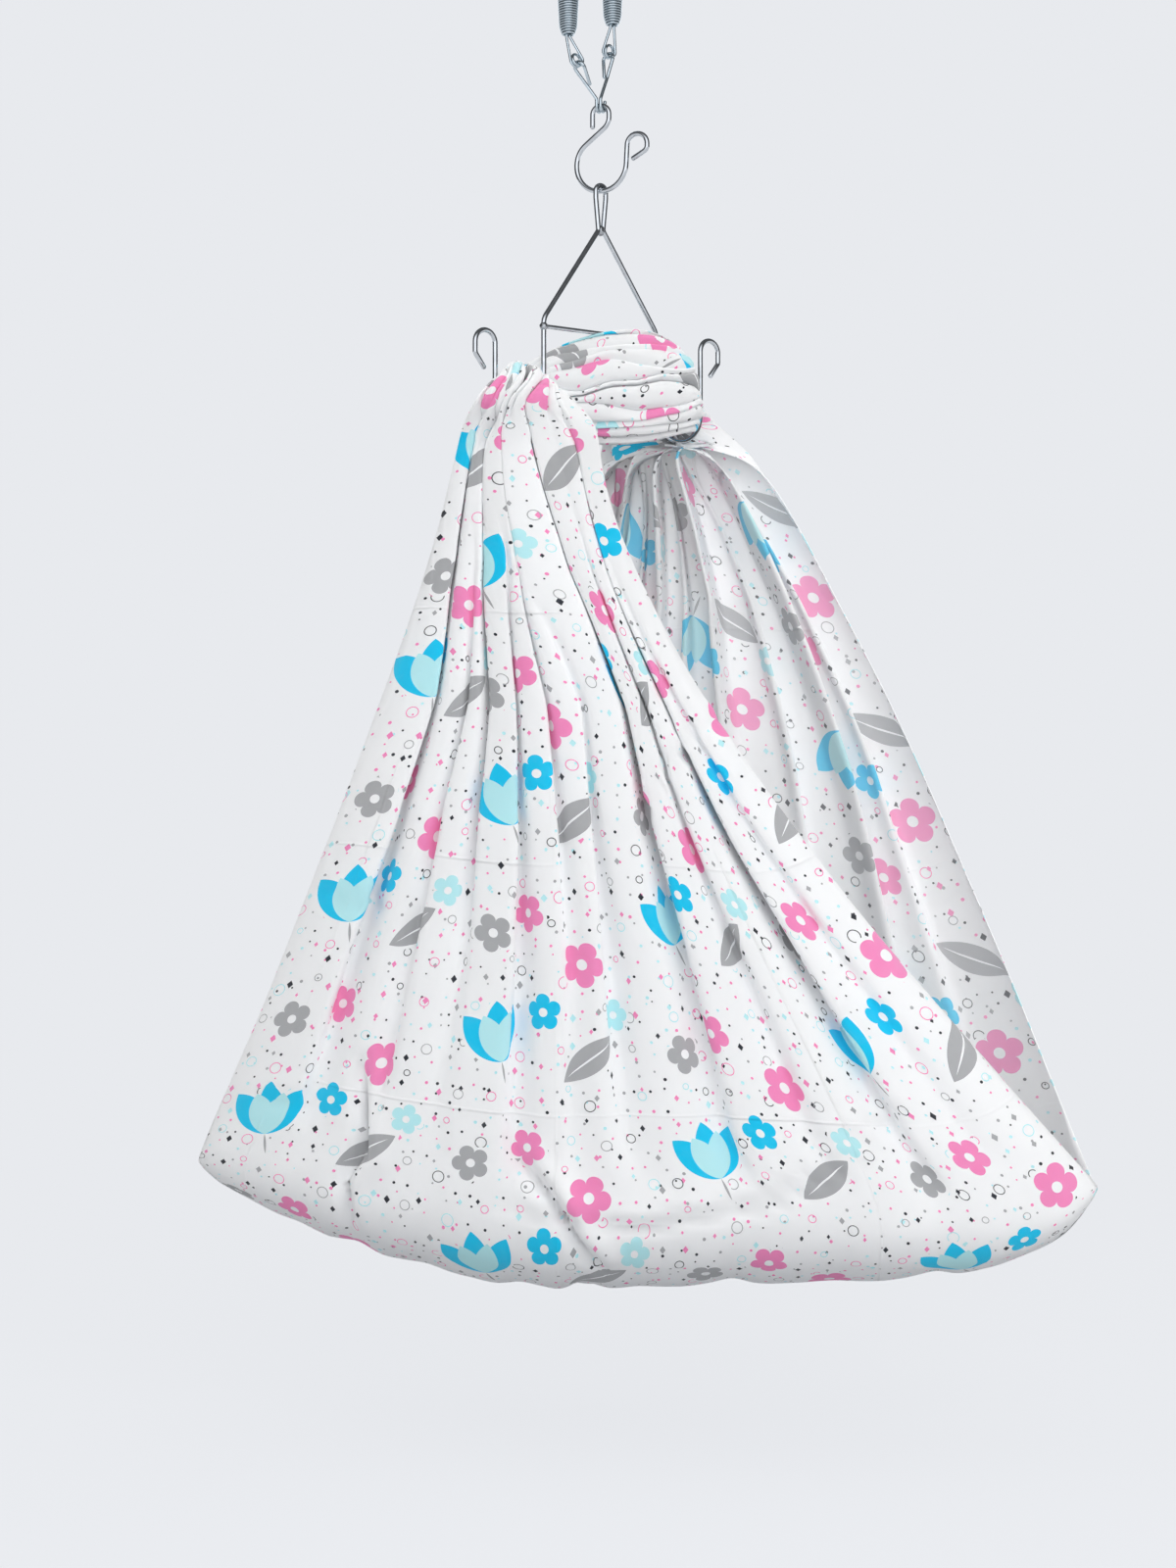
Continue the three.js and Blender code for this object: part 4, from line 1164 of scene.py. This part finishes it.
def material_for(kind, wires):
    """The finish of one kind of wire, made once."""
    found = bpy.data.materials.get(kind + "_finish")
    if found:
        return found
    name, bright, dim, roughness, grain = FINISHES[kind]
    shade = getattr(wires, name)
    return plated(kind + "_finish", dimmed(shade, bright), dimmed(shade, dim), roughness, grain)


# Cloth


def smooth(value):
    """0 below 0, 1 above 1, and an even curve between them."""
    held = np.clip(value, 0.0, 1.0)
    return held * held * (3 - 2 * held)


def blended(first, second, share):
    """The first value at a share of 0, the second at 1."""
    return first + (second - first) * share


def through(knots, places):
    """A smooth curve through the knots, one row each, at places counted in knots."""
    knots = np.asarray(knots, float)
    last = len(knots) - 1
    index = np.clip(np.floor(places).astype(int), 0, last - 1)
    share = (places - index)[:, None]
    before = knots[np.maximum(index - 1, 0)]
    start, end = knots[index], knots[index + 1]
    after = knots[np.minimum(index + 2, last)]
    first = (end - before) / 2
    second = (after - start) / 2
    cubic = 2 * start - 2 * end + first + second
    square = -3 * start + 3 * end - 2 * first - second
    return ((cubic * share + square) * share + first) * share + start


def towards_tip(q):
    """How far a place across the cloth is from the keel's lowest point to its tip, 0 to 1."""
    low = KEEL_LOW_SHARE
    return np.where(q < low, (low - q) / low, (q - low) / (1 - low))


def keel_point(q):
    """The keel's points at places across the cloth."""
    out = np.clip(towards_tip(q), 0.0, 1.0)
    right = blended(out**KEEL_RIGHT_POWER, out, KEEL_RIGHT_TILT_SHARE)
    rise = np.where(q < KEEL_LOW_SHARE, out**KEEL_LEFT_POWER, right)
    tip_z = np.where(q < KEEL_LOW_SHARE, KEEL_LEFT[2], KEEL_RIGHT[2])
    x = blended(KEEL_LEFT[0], KEEL_RIGHT[0], q)
    y = blended(KEEL_LEFT[1], KEEL_RIGHT[1], q)
    return np.stack((x, y, blended(KEEL_LOW_Z, tip_z, rise)), -1)


def sling_surface(side, q, down):
    """The sling's even surface without folds: points, outward directions, how far its crests stand
    out and how deep its folds may go."""
    top_x, top_y, half = TOPS[side]
    keel = keel_point(q)
    full = (1 - np.clip(towards_tip(q), 0, 1) ** 2) ** BELLY_POWER
    depth = blended(*BELLY_DEPTH, full)
    round_up = blended(*BELLY_ROUND, full)
    still = np.zeros_like(q)
    start = np.stack((top_x + half * (2 * q - 1), still + top_y, still + SLING_TOP_Z), -1)
    crease = keel + np.stack((still, side * depth, round_up), -1)
    fall = min(down / STRAIGHT_SHARE, 1.0)
    points = blended(start, crease, fall)
    sway = math.sin(math.pi * fall**SAG_POWER)
    points[:, 0] -= RIGHT_SAGS[side] * sway * smooth(2 * q - 1)
    points[:, 0] += LEFT_SAGS[side] * sway * smooth(1 - 2 * q)
    turn = max(0.0, (down - STRAIGHT_SHARE) / (1 - STRAIGHT_SHARE)) * QUARTER
    if turn > 0:
        points = keel + np.stack(
            (still, side * depth * math.cos(turn), round_up * (1 - math.sin(turn))), -1
        )
    outward = np.stack((still, still + side * math.cos(turn), still - math.sin(turn)), -1)
    crest = np.minimum(1.0, blended(1.0, depth / (2 * CREST_HEIGHT), fall))
    crest = CREST_HEIGHT * crest * blended(CREASE_SHARE, 1.0, math.cos(turn) ** 2)
    room = crest + blended(abs(top_y), depth * ROOM_SHARE + ROOM_MORE, fall)
    return points, outward, crest, room


def least_of(value, limit):
    """The value, held smoothly below the limit."""
    return value / (1 + np.abs(value / limit) ** LIMIT_POWER) ** (1 / LIMIT_POWER)


def folded(cloth, places, walls, leans, steep, blur, bulge, wanted):
    """One row across folded cloth: how far along the row each column lies, from 0 to 1, how deep,
    and where on the flat cloth. A fold is two walls that meet at its place. The walls are scaled
    until the row is as long as wanted, so the cloth is never stretched."""
    steps = FINE_STEPS
    step = cloth.width / steps
    at = (np.arange(steps) + 0.5) * step
    centres = places * cloth.width
    gaps = np.diff(centres)
    pairs = walls[:-1] + walls[1:] + TINY
    most_right = np.append(gaps * walls[:-1] / pairs * WALL_SHARE, 0.0)
    most_left = np.insert(gaps * walls[1:] / pairs * WALL_SHARE, 0, 0.0)
    reach = max(BLUR_REACH, round(BLUR_REACH * blur / step))
    shut = CLOSING_SHARE * max(0.0, math.sin(steep)) ** CLOSING_POWER
    kernel = np.exp(-0.5 * (np.arange(-reach, reach + 1) * step / blur) ** 2)
    kernel /= kernel.sum()

    def bent(scale):
        left, right = np.minimum(walls * scale, most_left), np.minimum(walls * scale, most_right)
        starts, ends = centres[:-1] + right[:-1], centres[1:] - left[1:]
        slope = np.zeros(steps)
        for start, end in zip(starts, ends):
            middle, half = (start + end) / 2, max((end - start) / 2, step)
            on = (at > start) & (at < end)
            slope[on] = bulge * (at[on] - middle) / half
        for centre, before, after, lean in zip(centres, left, right, leans):
            away = centre - at
            down = np.clip((before - away) / step + 0.5, 0, 1) * (away >= 0)
            up = np.clip((after + away) / step + 0.5, 0, 1) * (away < 0)
            closing = math.asin(min(CLOSING_MOST, shut * blur / max(before + after, blur)))
            wall = steep + closing
            slope = slope * (1 - down) * (1 - up) + down * (wall + lean) - up * (wall - lean)
        slope = np.convolve(np.pad(slope, reach, mode="edge"), kernel, "valid")
        along = np.concatenate(([0.0], np.cumsum(np.cos(slope)) * step))
        depth = np.concatenate(([0.0], np.cumsum(np.sin(slope)) * step))
        return along, depth, (starts + ends) / 2, slope

    low, high = 0.0, MOST_SCALE
    for _ in range(HALVINGS):
        middle = (low + high) / 2
        if bent(middle)[0][-1] > wanted:
            low = middle
        else:
            high = middle
    along, depth, crests, slope = bent(low)
    edges = np.arange(steps + 1) * step
    depth = depth - np.interp(edges, crests, np.interp(crests, edges, depth))
    turning = np.abs(np.diff(slope, prepend=slope[0]))
    filled = np.concatenate(([0.0], np.cumsum(turning / COLUMN_TURN + step / COLUMN_GAP)))
    flat = np.interp(np.linspace(0, filled[-1], cloth.columns), filled, edges)
    return np.interp(flat, edges, along / along[-1]), np.interp(flat, edges, depth), flat


def fold_values(table, level):
    """Wall lengths, leans and the row's steepness at a level."""
    walls = np.array([np.interp(level, LEVELS, row[2:]) for row in table]) * MM
    steep, blur, share, bulge = (np.interp(level, LEVELS, column) for column in STEEPNESS.T)
    leans = np.radians(table[:, 1]) * share
    return walls, leans, math.radians(steep), blur * MM, math.radians(bulge)


def sling_rows(side, downs, cloth):
    """The rows of the sling's front or back, from its gather to the keel."""
    table = FRONT_FOLDS if side < 0 else BACK_FOLDS
    even = np.linspace(0, 1, MEASURE_POINTS)
    rows = []
    for down in downs:
        walls, leans, steep, blur, bulge = fold_values(table, down / STRAIGHT_SHARE)
        wanted = row_length(sling_surface(side, even, down)[0])
        q, depth, flat = folded(cloth, table[:, 0], walls, leans, steep, blur, bulge, wanted)
        points, outward, crest, room = sling_surface(side, np.clip(q, 0, 1), down)
        points = points + outward * (crest - least_of(depth, room))[:, None]
        rows.append(np.column_stack((points, flat)))
    return rows


def row_length(points):
    """The length of the line through the points."""
    return np.linalg.norm(np.diff(points, axis=0), axis=1).sum()


def band_sections(wires):
    """The band's sections from the front gather to the back one, in the hanger's frame. Each is its
    centre, heading, pitch, half width, half height, turn of its pleats, and how round it is."""
    eye_z = hanger_eye_z(wires)
    turned = QUARTER - HANGER_TURN
    halves = []
    for side, top in TOPS.items():
        away = Vector((top[0] - HANGER_X, top[1], SLING_TOP_Z - eye_z))
        start = Matrix.Rotation(-HANGER_TURN, 3, "Z") @ away
        half = top[2]
        hook_x = side * (HANGER_HALF + HANGER_HOOK_WIDTH / 2)
        inner = (HANGER_HOOK_WIDTH - wires.hook) / 2 - BAND_HOOK_ROOM
        hook_z = HANGER_HOOK_WIDTH / 2 - HANGER_HOOK_DROP
        band_z = BAND_LIFT - HANGER_HOOK_DROP
        out = -side * BAND_SWING
        lift = BAND_RIGHT_LIFT if side > 0 else 0.0
        part = [(*start, turned, QUARTER, half, CREST_HEIGHT, 0.0, 0.0)]
        for across, outwards, down, wide, high, pitch, heading, turn, rounded in SHOULDERS[side]:
            x, z = blended(hook_x, start.x, across), blended(hook_z, start.z, down)
            heading, pitch = blended(QUARTER, turned, heading), QUARTER * pitch
            part.append((x, start.y * outwards, z, heading, pitch, half * wide, high, turn, rounded))
        for inwards, outwards, up, heading, wide, high, turn in HOOK_SECTIONS:
            x, z = hook_x - side * inner * inwards, blended(hook_z, band_z, up)
            heading = QUARTER * heading
            part.append((x, out * outwards, z, heading, 0, inner * wide, inner * high, turn, 1.0))
        for (across, outwards, up, heading, turn), high in zip(LEG_SECTIONS, BAND_HEIGHTS[side]):
            x, z = side * HANGER_HALF * across, blended(hook_z, band_z, up) + lift
            heading, high = QUARTER * heading, BAND_HEIGHT * high
            part.append((x, out * outwards, z, heading, 0, BAND_DEPTH, high, turn, 1.0))
        halves.append(np.array(part))
    middle_z = band_z + BAND_RIGHT_LIFT / 2
    middle = (0, 0, middle_z, QUARTER * MIDDLE_HEADING, 0, BAND_DEPTH, BAND_HEIGHT, 1.0, 1.0)
    right = halves[1][::-1].copy()
    right[:, 4] *= -1
    return np.vstack((halves[0], middle, right))


def band_rows(rows, cloth, wires):
    """The rows of the band, from the front gather over both hooks to the back one."""
    sections = band_sections(wires)
    last = len(sections) - 1
    places = np.linspace(0, last, rows)
    matrix = np.array(hanger_matrix(wires))
    front, back = fold_values(FRONT_FOLDS, 0.0), fold_values(BACK_FOLDS, 0.0)
    made = []
    for place, section in zip(places, through(sections, places)):
        x, y, z, heading, pitch, wide, high, turned, roundness = section
        along = smooth(place / last)
        at = blended(FRONT_FOLDS[:, 0], BACK_FOLDS[:, 0], along)
        walls, leans, steep, blur, bulge = (blended(a, b, along) for a, b in zip(front, back))
        bunched = min(max(roundness, 0.0), 1.0)
        spin = -turned * QUARTER
        half = math.hypot(wide * math.cos(spin), high * math.sin(spin))
        reach = math.hypot(wide * math.sin(spin), high * math.cos(spin))
        blur = blended(blur, BAND_BLUR, bunched)
        bulge = blended(bulge, BAND_BULGE, bunched)
        leans = leans * (1 - bunched)
        walls = blended(walls, BAND_WALLS, bunched)
        at = blended(at, BAND_PLACES, bunched)
        wander = np.sin(place * WANDER_ALONG + np.arange(len(at)) * WANDER_ACROSS)
        at = at + BAND_WANDER * np.sin(math.pi * at) * bunched * wander
        spread = max(BAND_LEAST_SPREAD, bunched * BAND_SPREAD)
        widest = math.sin(min(spread, QUARTER))
        wanted = 2 * half * spread / widest
        q, depth, flat = folded(cloth, at, walls, leans, steep, blur, bulge, wanted)
        turn = (2 * q - 1) * spread
        sunk = least_of(depth / reach, blended(GATHER_SINK, BAND_SINK, bunched))
        aside = np.sin(turn) * (1 / widest - sunk)
        raised = np.cos(turn) * (1 - sunk)
        a = aside * math.cos(spin) - raised * math.sin(spin)
        b = aside * math.sin(spin) + raised * math.cos(spin)
        ahead = np.array((math.cos(heading), math.sin(heading), 0))
        across = np.array((ahead[1], -ahead[0], 0))
        crest = np.array((0, 0, math.cos(pitch))) - ahead * math.sin(pitch)
        local = np.array((x, y, z)) + across * (wide * a)[:, None] + crest * (high * b)[:, None]
        made.append(np.column_stack((local @ matrix[:3, :3].T + matrix[:3, 3], flat)))
    return made


def eased(rows, joins, spread, passes):
    """The loop of rows, evened out along the cloth where its parts join."""
    count = len(rows)
    strength = np.zeros(count)
    for join in joins:
        away = np.abs((np.arange(count) - join + count // 2) % count - count // 2)
        strength = np.maximum(strength, EASE_MOST * smooth(EASE_EDGE * (1 - away / spread)))
    for _ in range(passes):
        even = (np.roll(rows, 1, axis=0) + np.roll(rows, -1, axis=0)) / 2
        rows = rows + (even - rows) * strength[:, None, None]
    return rows


def facing(rows):
    """Which way the folded cloth as a whole faces at each point: the mean over nearby folds."""
    places = rows[..., :3]
    along = np.roll(places, -1, axis=0) - np.roll(places, 1, axis=0)
    over = np.gradient(places, axis=1)
    square = np.cross(along, over)
    window = np.hanning(FACING_COLUMNS)
    for row in square:
        for axis in range(3):
            padded = np.pad(row[:, axis], FACING_COLUMNS // 2, mode="edge")
            row[:, axis] = np.convolve(padded, window, "valid")
    return square / (np.linalg.norm(square, axis=2, keepdims=True) + TINY**2)


def crumpled(rows, lengths, near_gather):
    """Small uneven swells and wrinkles, square to the cloth."""
    moved = np.zeros(rows.shape[:2])
    for i, (v, near) in enumerate(zip(lengths, near_gather)):
        for j, u in enumerate(rows[i, :, 3]):
            for across, along, layer, height, always in SWELLS:
                swell = noise.noise(Vector((u / across, v / along, layer))) * height
                moved[i, j] += swell if always else swell * near
    rows[..., :3] += facing(rows) * moved[..., None]
    return rows


def cloth_rows(context):
    """Every row of the loop of cloth, from the front gather down, round the keel, up to the back
    gather, and back over both hooks."""
    wires, cloth = context.scene.cradle_wires, context.scene.cradle_cloth
    flat = np.linspace(0, STRAIGHT_SHARE, SLING_ROWS, endpoint=False)
    downs = np.concatenate((flat, np.linspace(STRAIGHT_SHARE, 1, BOWL_ROWS)))
    front, back = sling_rows(-1, downs, cloth), sling_rows(1, downs, cloth)
    band = band_rows(BAND_ROWS, cloth, wires)
    rows = np.array(front + back[::-1][1:] + band[::-1][1:-1])
    turns = len(front) + len(back) - 2
    rows = eased(rows, (0, turns), *GATHER_EASE)
    rows = eased(rows, (SLING_ROWS, turns - SLING_ROWS), *BOWL_EASE)
    down = row_places(rows)
    gathers = (down[0], down[turns], down[-1])
    near = [max(math.exp(-abs(v - g) / WRINKLE_REACH) for g in gathers) for v in down[:-1]]
    near[turns:] = [1.0] * len(near[turns:])
    rows = crumpled(rows, down[:-1], near)
    face = rows[:len(front)]
    places = face[..., (0, 2)].reshape(-1, 2)
    lifted = sum(tuck_depth(*tuck, places) for tuck in TUCKS).reshape(face.shape[:2])
    face[..., :3] += facing(rows)[:len(front)] * lifted[..., None]
    return np.roll(rows, SEAM_ROWS, axis=0)


def tuck_depth(height, width, line, places):
    """How far a tuck lifts the cloth at each place: a ridge beside a valley, faded at its ends."""
    line = np.array(line)
    runs = np.linalg.norm(np.diff(line, axis=0), axis=1)
    closest = np.full(len(places), np.inf)
    signed, gone = np.zeros(len(places)), np.zeros(len(places))
    before = 0.0
    for start, end, run in zip(line, line[1:], runs):
        way = (end - start) / run
        away = places - start
        along = np.clip(away @ way, 0, run)
        apart = away - along[:, None] * way
        distance = np.linalg.norm(apart, axis=1)
        closer = distance < closest
        closest = np.where(closer, distance, closest)
        side = np.sign(way[1] * away[:, 0] - way[0] * away[:, 1])
        signed = np.where(closer, -side * distance, signed)
        gone = np.where(closer, before + along, gone)
        before += run
    s = signed / width
    fade = np.sin(math.pi * np.clip(gone / runs.sum(), 0, 1)) ** TUCK_FADE
    ridge = np.exp(-((s - RIDGE_PLACE) ** 2) * RIDGE_NARROW)
    ridge *= 1 - np.exp(-np.maximum(s + RIDGE_START, 0) ** 2 * RIDGE_STEEP)
    valley = np.exp(-(s**2) * VALLEY_NARROW)
    return height * fade * (RIDGE_HEIGHT * ridge - VALLEY_DEPTH * valley)


def row_places(rows):
    """How far along the loop each row lies, and the loop's length."""
    places = rows[..., :3]
    steps = np.linalg.norm(np.roll(places, -1, axis=0) - places, axis=2).mean(axis=1)
    return np.concatenate(([0.0], np.cumsum(steps)))


def cloth_mesh(name, rows, down, materials):
    """A mesh of the closed loop, with the flat cloth's own places in its UV map."""
    count, columns = rows.shape[:2]
    mesh = bpy.data.meshes.new(name)
    index = np.arange(count * columns).reshape(count, columns)
    below = np.roll(index, -1, axis=0)
    faces = np.stack((index[:, :-1], below[:, :-1], below[:, 1:], index[:, 1:]), -1).reshape(-1, 4)
    mesh.from_pydata(rows[..., :3].reshape(-1, 3), [], faces.tolist())
    across = rows[..., 3]
    under = np.roll(across, -1, axis=0)
    u = np.stack((across[:, :-1], under[:, :-1], under[:, 1:], across[:, 1:]), -1)
    top = np.repeat(np.arange(count)[:, None], columns - 1, axis=1)
    v = np.stack((down[top], down[top + 1], down[top + 1], down[top]), -1)
    layer = mesh.uv_layers.new(name="Cloth")
    layer.data.foreach_set("uv", np.stack((u, v), -1).astype(np.float32).ravel())
    for material in materials:
        mesh.materials.append(material)
    mesh.polygons.foreach_set("use_smooth", [True] * len(mesh.polygons))
    mesh.update()
    return mesh


class CRADLE_OT_cloth(bpy.types.Operator):
    """Makes the loop of printed cotton: the sling and the band over the hooks"""

    bl_idname = "cradle.cloth"
    bl_label = "Cloth"

    def execute(self, context):
        cloth = context.scene.cradle_cloth
        rows = cloth_rows(context)
        down = row_places(rows)
        loop = down[-1]
        face = cotton("printed_cotton_face", cloth, loop, 1.0)
        reverse = cotton("printed_cotton_reverse", cloth, loop, 0.85)
        piece = placed("sling_cloth", cloth_mesh("sling_cloth", rows, down, (face, reverse)))
        wall = piece.modifiers.new("thickness", "SOLIDIFY")
        wall.thickness = cloth.thickness
        wall.offset = 0.0
        wall.material_offset = 1
        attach(piece, "hanger")
        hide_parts("sling_front", "sling_back", "cloth_band")
        return {"FINISHED"}


# Stage

FLOOR_RADIUS = 14.0
FLOOR_SIDES = 96
FLOOR_NEAR, FLOOR_FADE = 0.7, 1.6  # where it starts to turn into the backdrop, and over what way
FLOOR_GLOW = 0.88  # how much of it near the cradle is the backdrop's own colour
# What metal mirrors: bright ahead and behind, and dark from this far aside on
ASIDE_START, ASIDE_FADE = 0.5, 0.3
ASIDE_SHARE = 0.07
BEHIND_LOSS = 0.2  # how much less light comes from behind the cradle
WHITE = (1.0, 1.0, 1.0)
BLACK = (0.0, 0.0, 0.0)
AIM_Z = -1.1
LAMPS = {"key": ((1.3, -3.3, 0.8), 2.4), "fill": ((0.2, -3.1, -0.7), 0.9)}  # place, size


def backdrop_material(stage):
    """The floor: it takes the shadow near the cradle and fades to the backdrop's colour."""
    made = bpy.data.materials.new("pale_floor")
    made.use_nodes = True
    nodes = Nodes(made.node_tree)
    shade = tuple(stage.background)
    x, y, _ = nodes.parts(nodes.out("ShaderNodeTexCoord", output="Object"))
    far = length_of(x, y).ramp(FLOOR_NEAR, FLOOR_FADE)
    seen = nodes.rays("Camera", "Glossy", "Transmission")
    lit = nodes.mixed(seen, dimmed(shade, stage.bounce), shade)
    diffuse = nodes.out("ShaderNodeBsdfDiffuse", None, {"Color": lit})
    glow = nodes.out("ShaderNodeEmission", None, {"Color": (*shade, 1.0)})
    share = seen * (FLOOR_GLOW + far * (1 - FLOOR_GLOW))
    mixed = nodes.out("ShaderNodeMixShader", None, {0: share, 1: diffuse, 2: glow})
    nodes.add("ShaderNodeOutputMaterial", None, {"Surface": mixed})
    return made


def make_world(scene, stage):
    """The even light all round, the backdrop that is seen, and what metal mirrors."""
    world = bpy.data.worlds.new("pale_studio")
    world.use_nodes = True
    scene.world = world
    nodes = Nodes(world.node_tree)
    seen = nodes.rays("Camera", "Transmission")
    glossy = nodes.rays("Glossy")
    x, y, z = nodes.parts(nodes.out("ShaderNodeTexCoord", output="Generated"))
    shade = tuple(stage.background)
    aside = length_of(x, z).ramp(ASIDE_START, ASIDE_FADE)
    studio = nodes.mixed(aside, shade, dimmed(shade, ASIDE_SHARE))
    even = nodes.mixed(y.clamped() * BEHIND_LOSS, WHITE, BLACK)
    light = nodes.mixed(seen, nodes.mixed(glossy, even, studio), shade)
    strength = seen * (1 - stage.sky) + glossy * (stage.gloss - stage.sky) + stage.sky
    back = nodes.out("ShaderNodeBackground", None, {"Color": light, "Strength": strength})
    nodes.add("ShaderNodeOutputWorld", None, {"Surface": back})


def lamp(name, place, target, size, power):
    """A square lamp that can't be seen and isn't mirrored."""
    data = bpy.data.lights.new(name, "AREA")
    data.shape = "SQUARE"
    data.size = size
    data.energy = power
    made = placed(name, data)
    made.location = place
    made.visible_camera = False
    made.visible_glossy = False
    made.rotation_euler = (Vector(target) - Vector(place)).to_track_quat("-Z", "Y").to_euler()


class CRADLE_OT_stage(bpy.types.Operator):
    """Makes the camera, the lamps, the world and the floor"""

    bl_idname = "cradle.stage"
    bl_label = "Stage"

    def execute(self, context):
        scene, stage = context.scene, context.scene.cradle_stage
        data = bpy.data.cameras.new("photo_camera")
        data.lens = CAMERA_LENS
        data.sensor_width = CAMERA_SENSOR
        camera = placed("photo_camera", data)
        camera.location = CAMERA_PLACE
        camera.rotation_euler = (QUARTER, 0, 0)
        scene.camera = camera
        mesh = bpy.data.meshes.new("floor")
        turns = [2 * math.pi * i / FLOOR_SIDES for i in range(FLOOR_SIDES)]
        rim = [(FLOOR_RADIUS * math.cos(t), FLOOR_RADIUS * math.sin(t), -stage.drop) for t in turns]
        mesh.from_pydata(rim, [], [list(range(FLOOR_SIDES))])
        mesh.materials.append(backdrop_material(stage))
        floor = placed("floor", mesh)
        middle = (CAD_BOX[0] + CAD_BOX[1]) / 2
        for name, (place, size) in LAMPS.items():
            lamp(name + "_lamp", place, (middle.x, middle.y, AIM_Z), size, getattr(stage, name))
        make_world(scene, stage)
        scene.view_settings.view_transform = "Standard"
        return {"FINISHED"}


class CRADLE_PT_panel(bpy.types.Panel):
    """Lists the cradle's pieces and sizes in the sidebar"""

    bl_idname = "CRADLE_PT_panel"
    bl_label = "Hanging Cradle"
    bl_space_type = "VIEW_3D"
    bl_region_type = "UI"
    bl_category = "Cradle"

    def draw(self, context):
        for group in (getattr(context.scene, name) for name in GROUPS):
            box = self.layout.box()
            for name in group.bl_rna.properties.keys():
                if name not in ("rna_type", "name"):
                    box.prop(group, name)
        for operator in OPERATORS:
            self.layout.operator(operator.bl_idname)


GROUPS = {"cradle_wires": CradleWires, "cradle_cloth": CradleCloth, "cradle_stage": CradleStage}
OPERATORS = (
    CRADLE_OT_stage,
    CRADLE_OT_s_hooks,
    CRADLE_OT_links,
    CRADLE_OT_springs,
    CRADLE_OT_hanger,
    CRADLE_OT_cloth,
)


def register():
    for made in (*GROUPS.values(), *OPERATORS, CRADLE_PT_panel):
        bpy.utils.register_class(made)
    for name, group in GROUPS.items():
        setattr(bpy.types.Scene, name, PointerProperty(type=group))


def unregister():
    for name in GROUPS:
        delattr(bpy.types.Scene, name)
    for made in (CRADLE_PT_panel, *reversed(OPERATORS), *reversed(GROUPS.values())):
        bpy.utils.unregister_class(made)


def main():
    register()
    bpy.ops.cradle.stage()
    bpy.ops.cradle.s_hooks()
    bpy.ops.cradle.links()
    bpy.ops.cradle.springs()
    bpy.ops.cradle.hanger()
    bpy.ops.cradle.cloth()


if __name__ == "__main__":
    main()
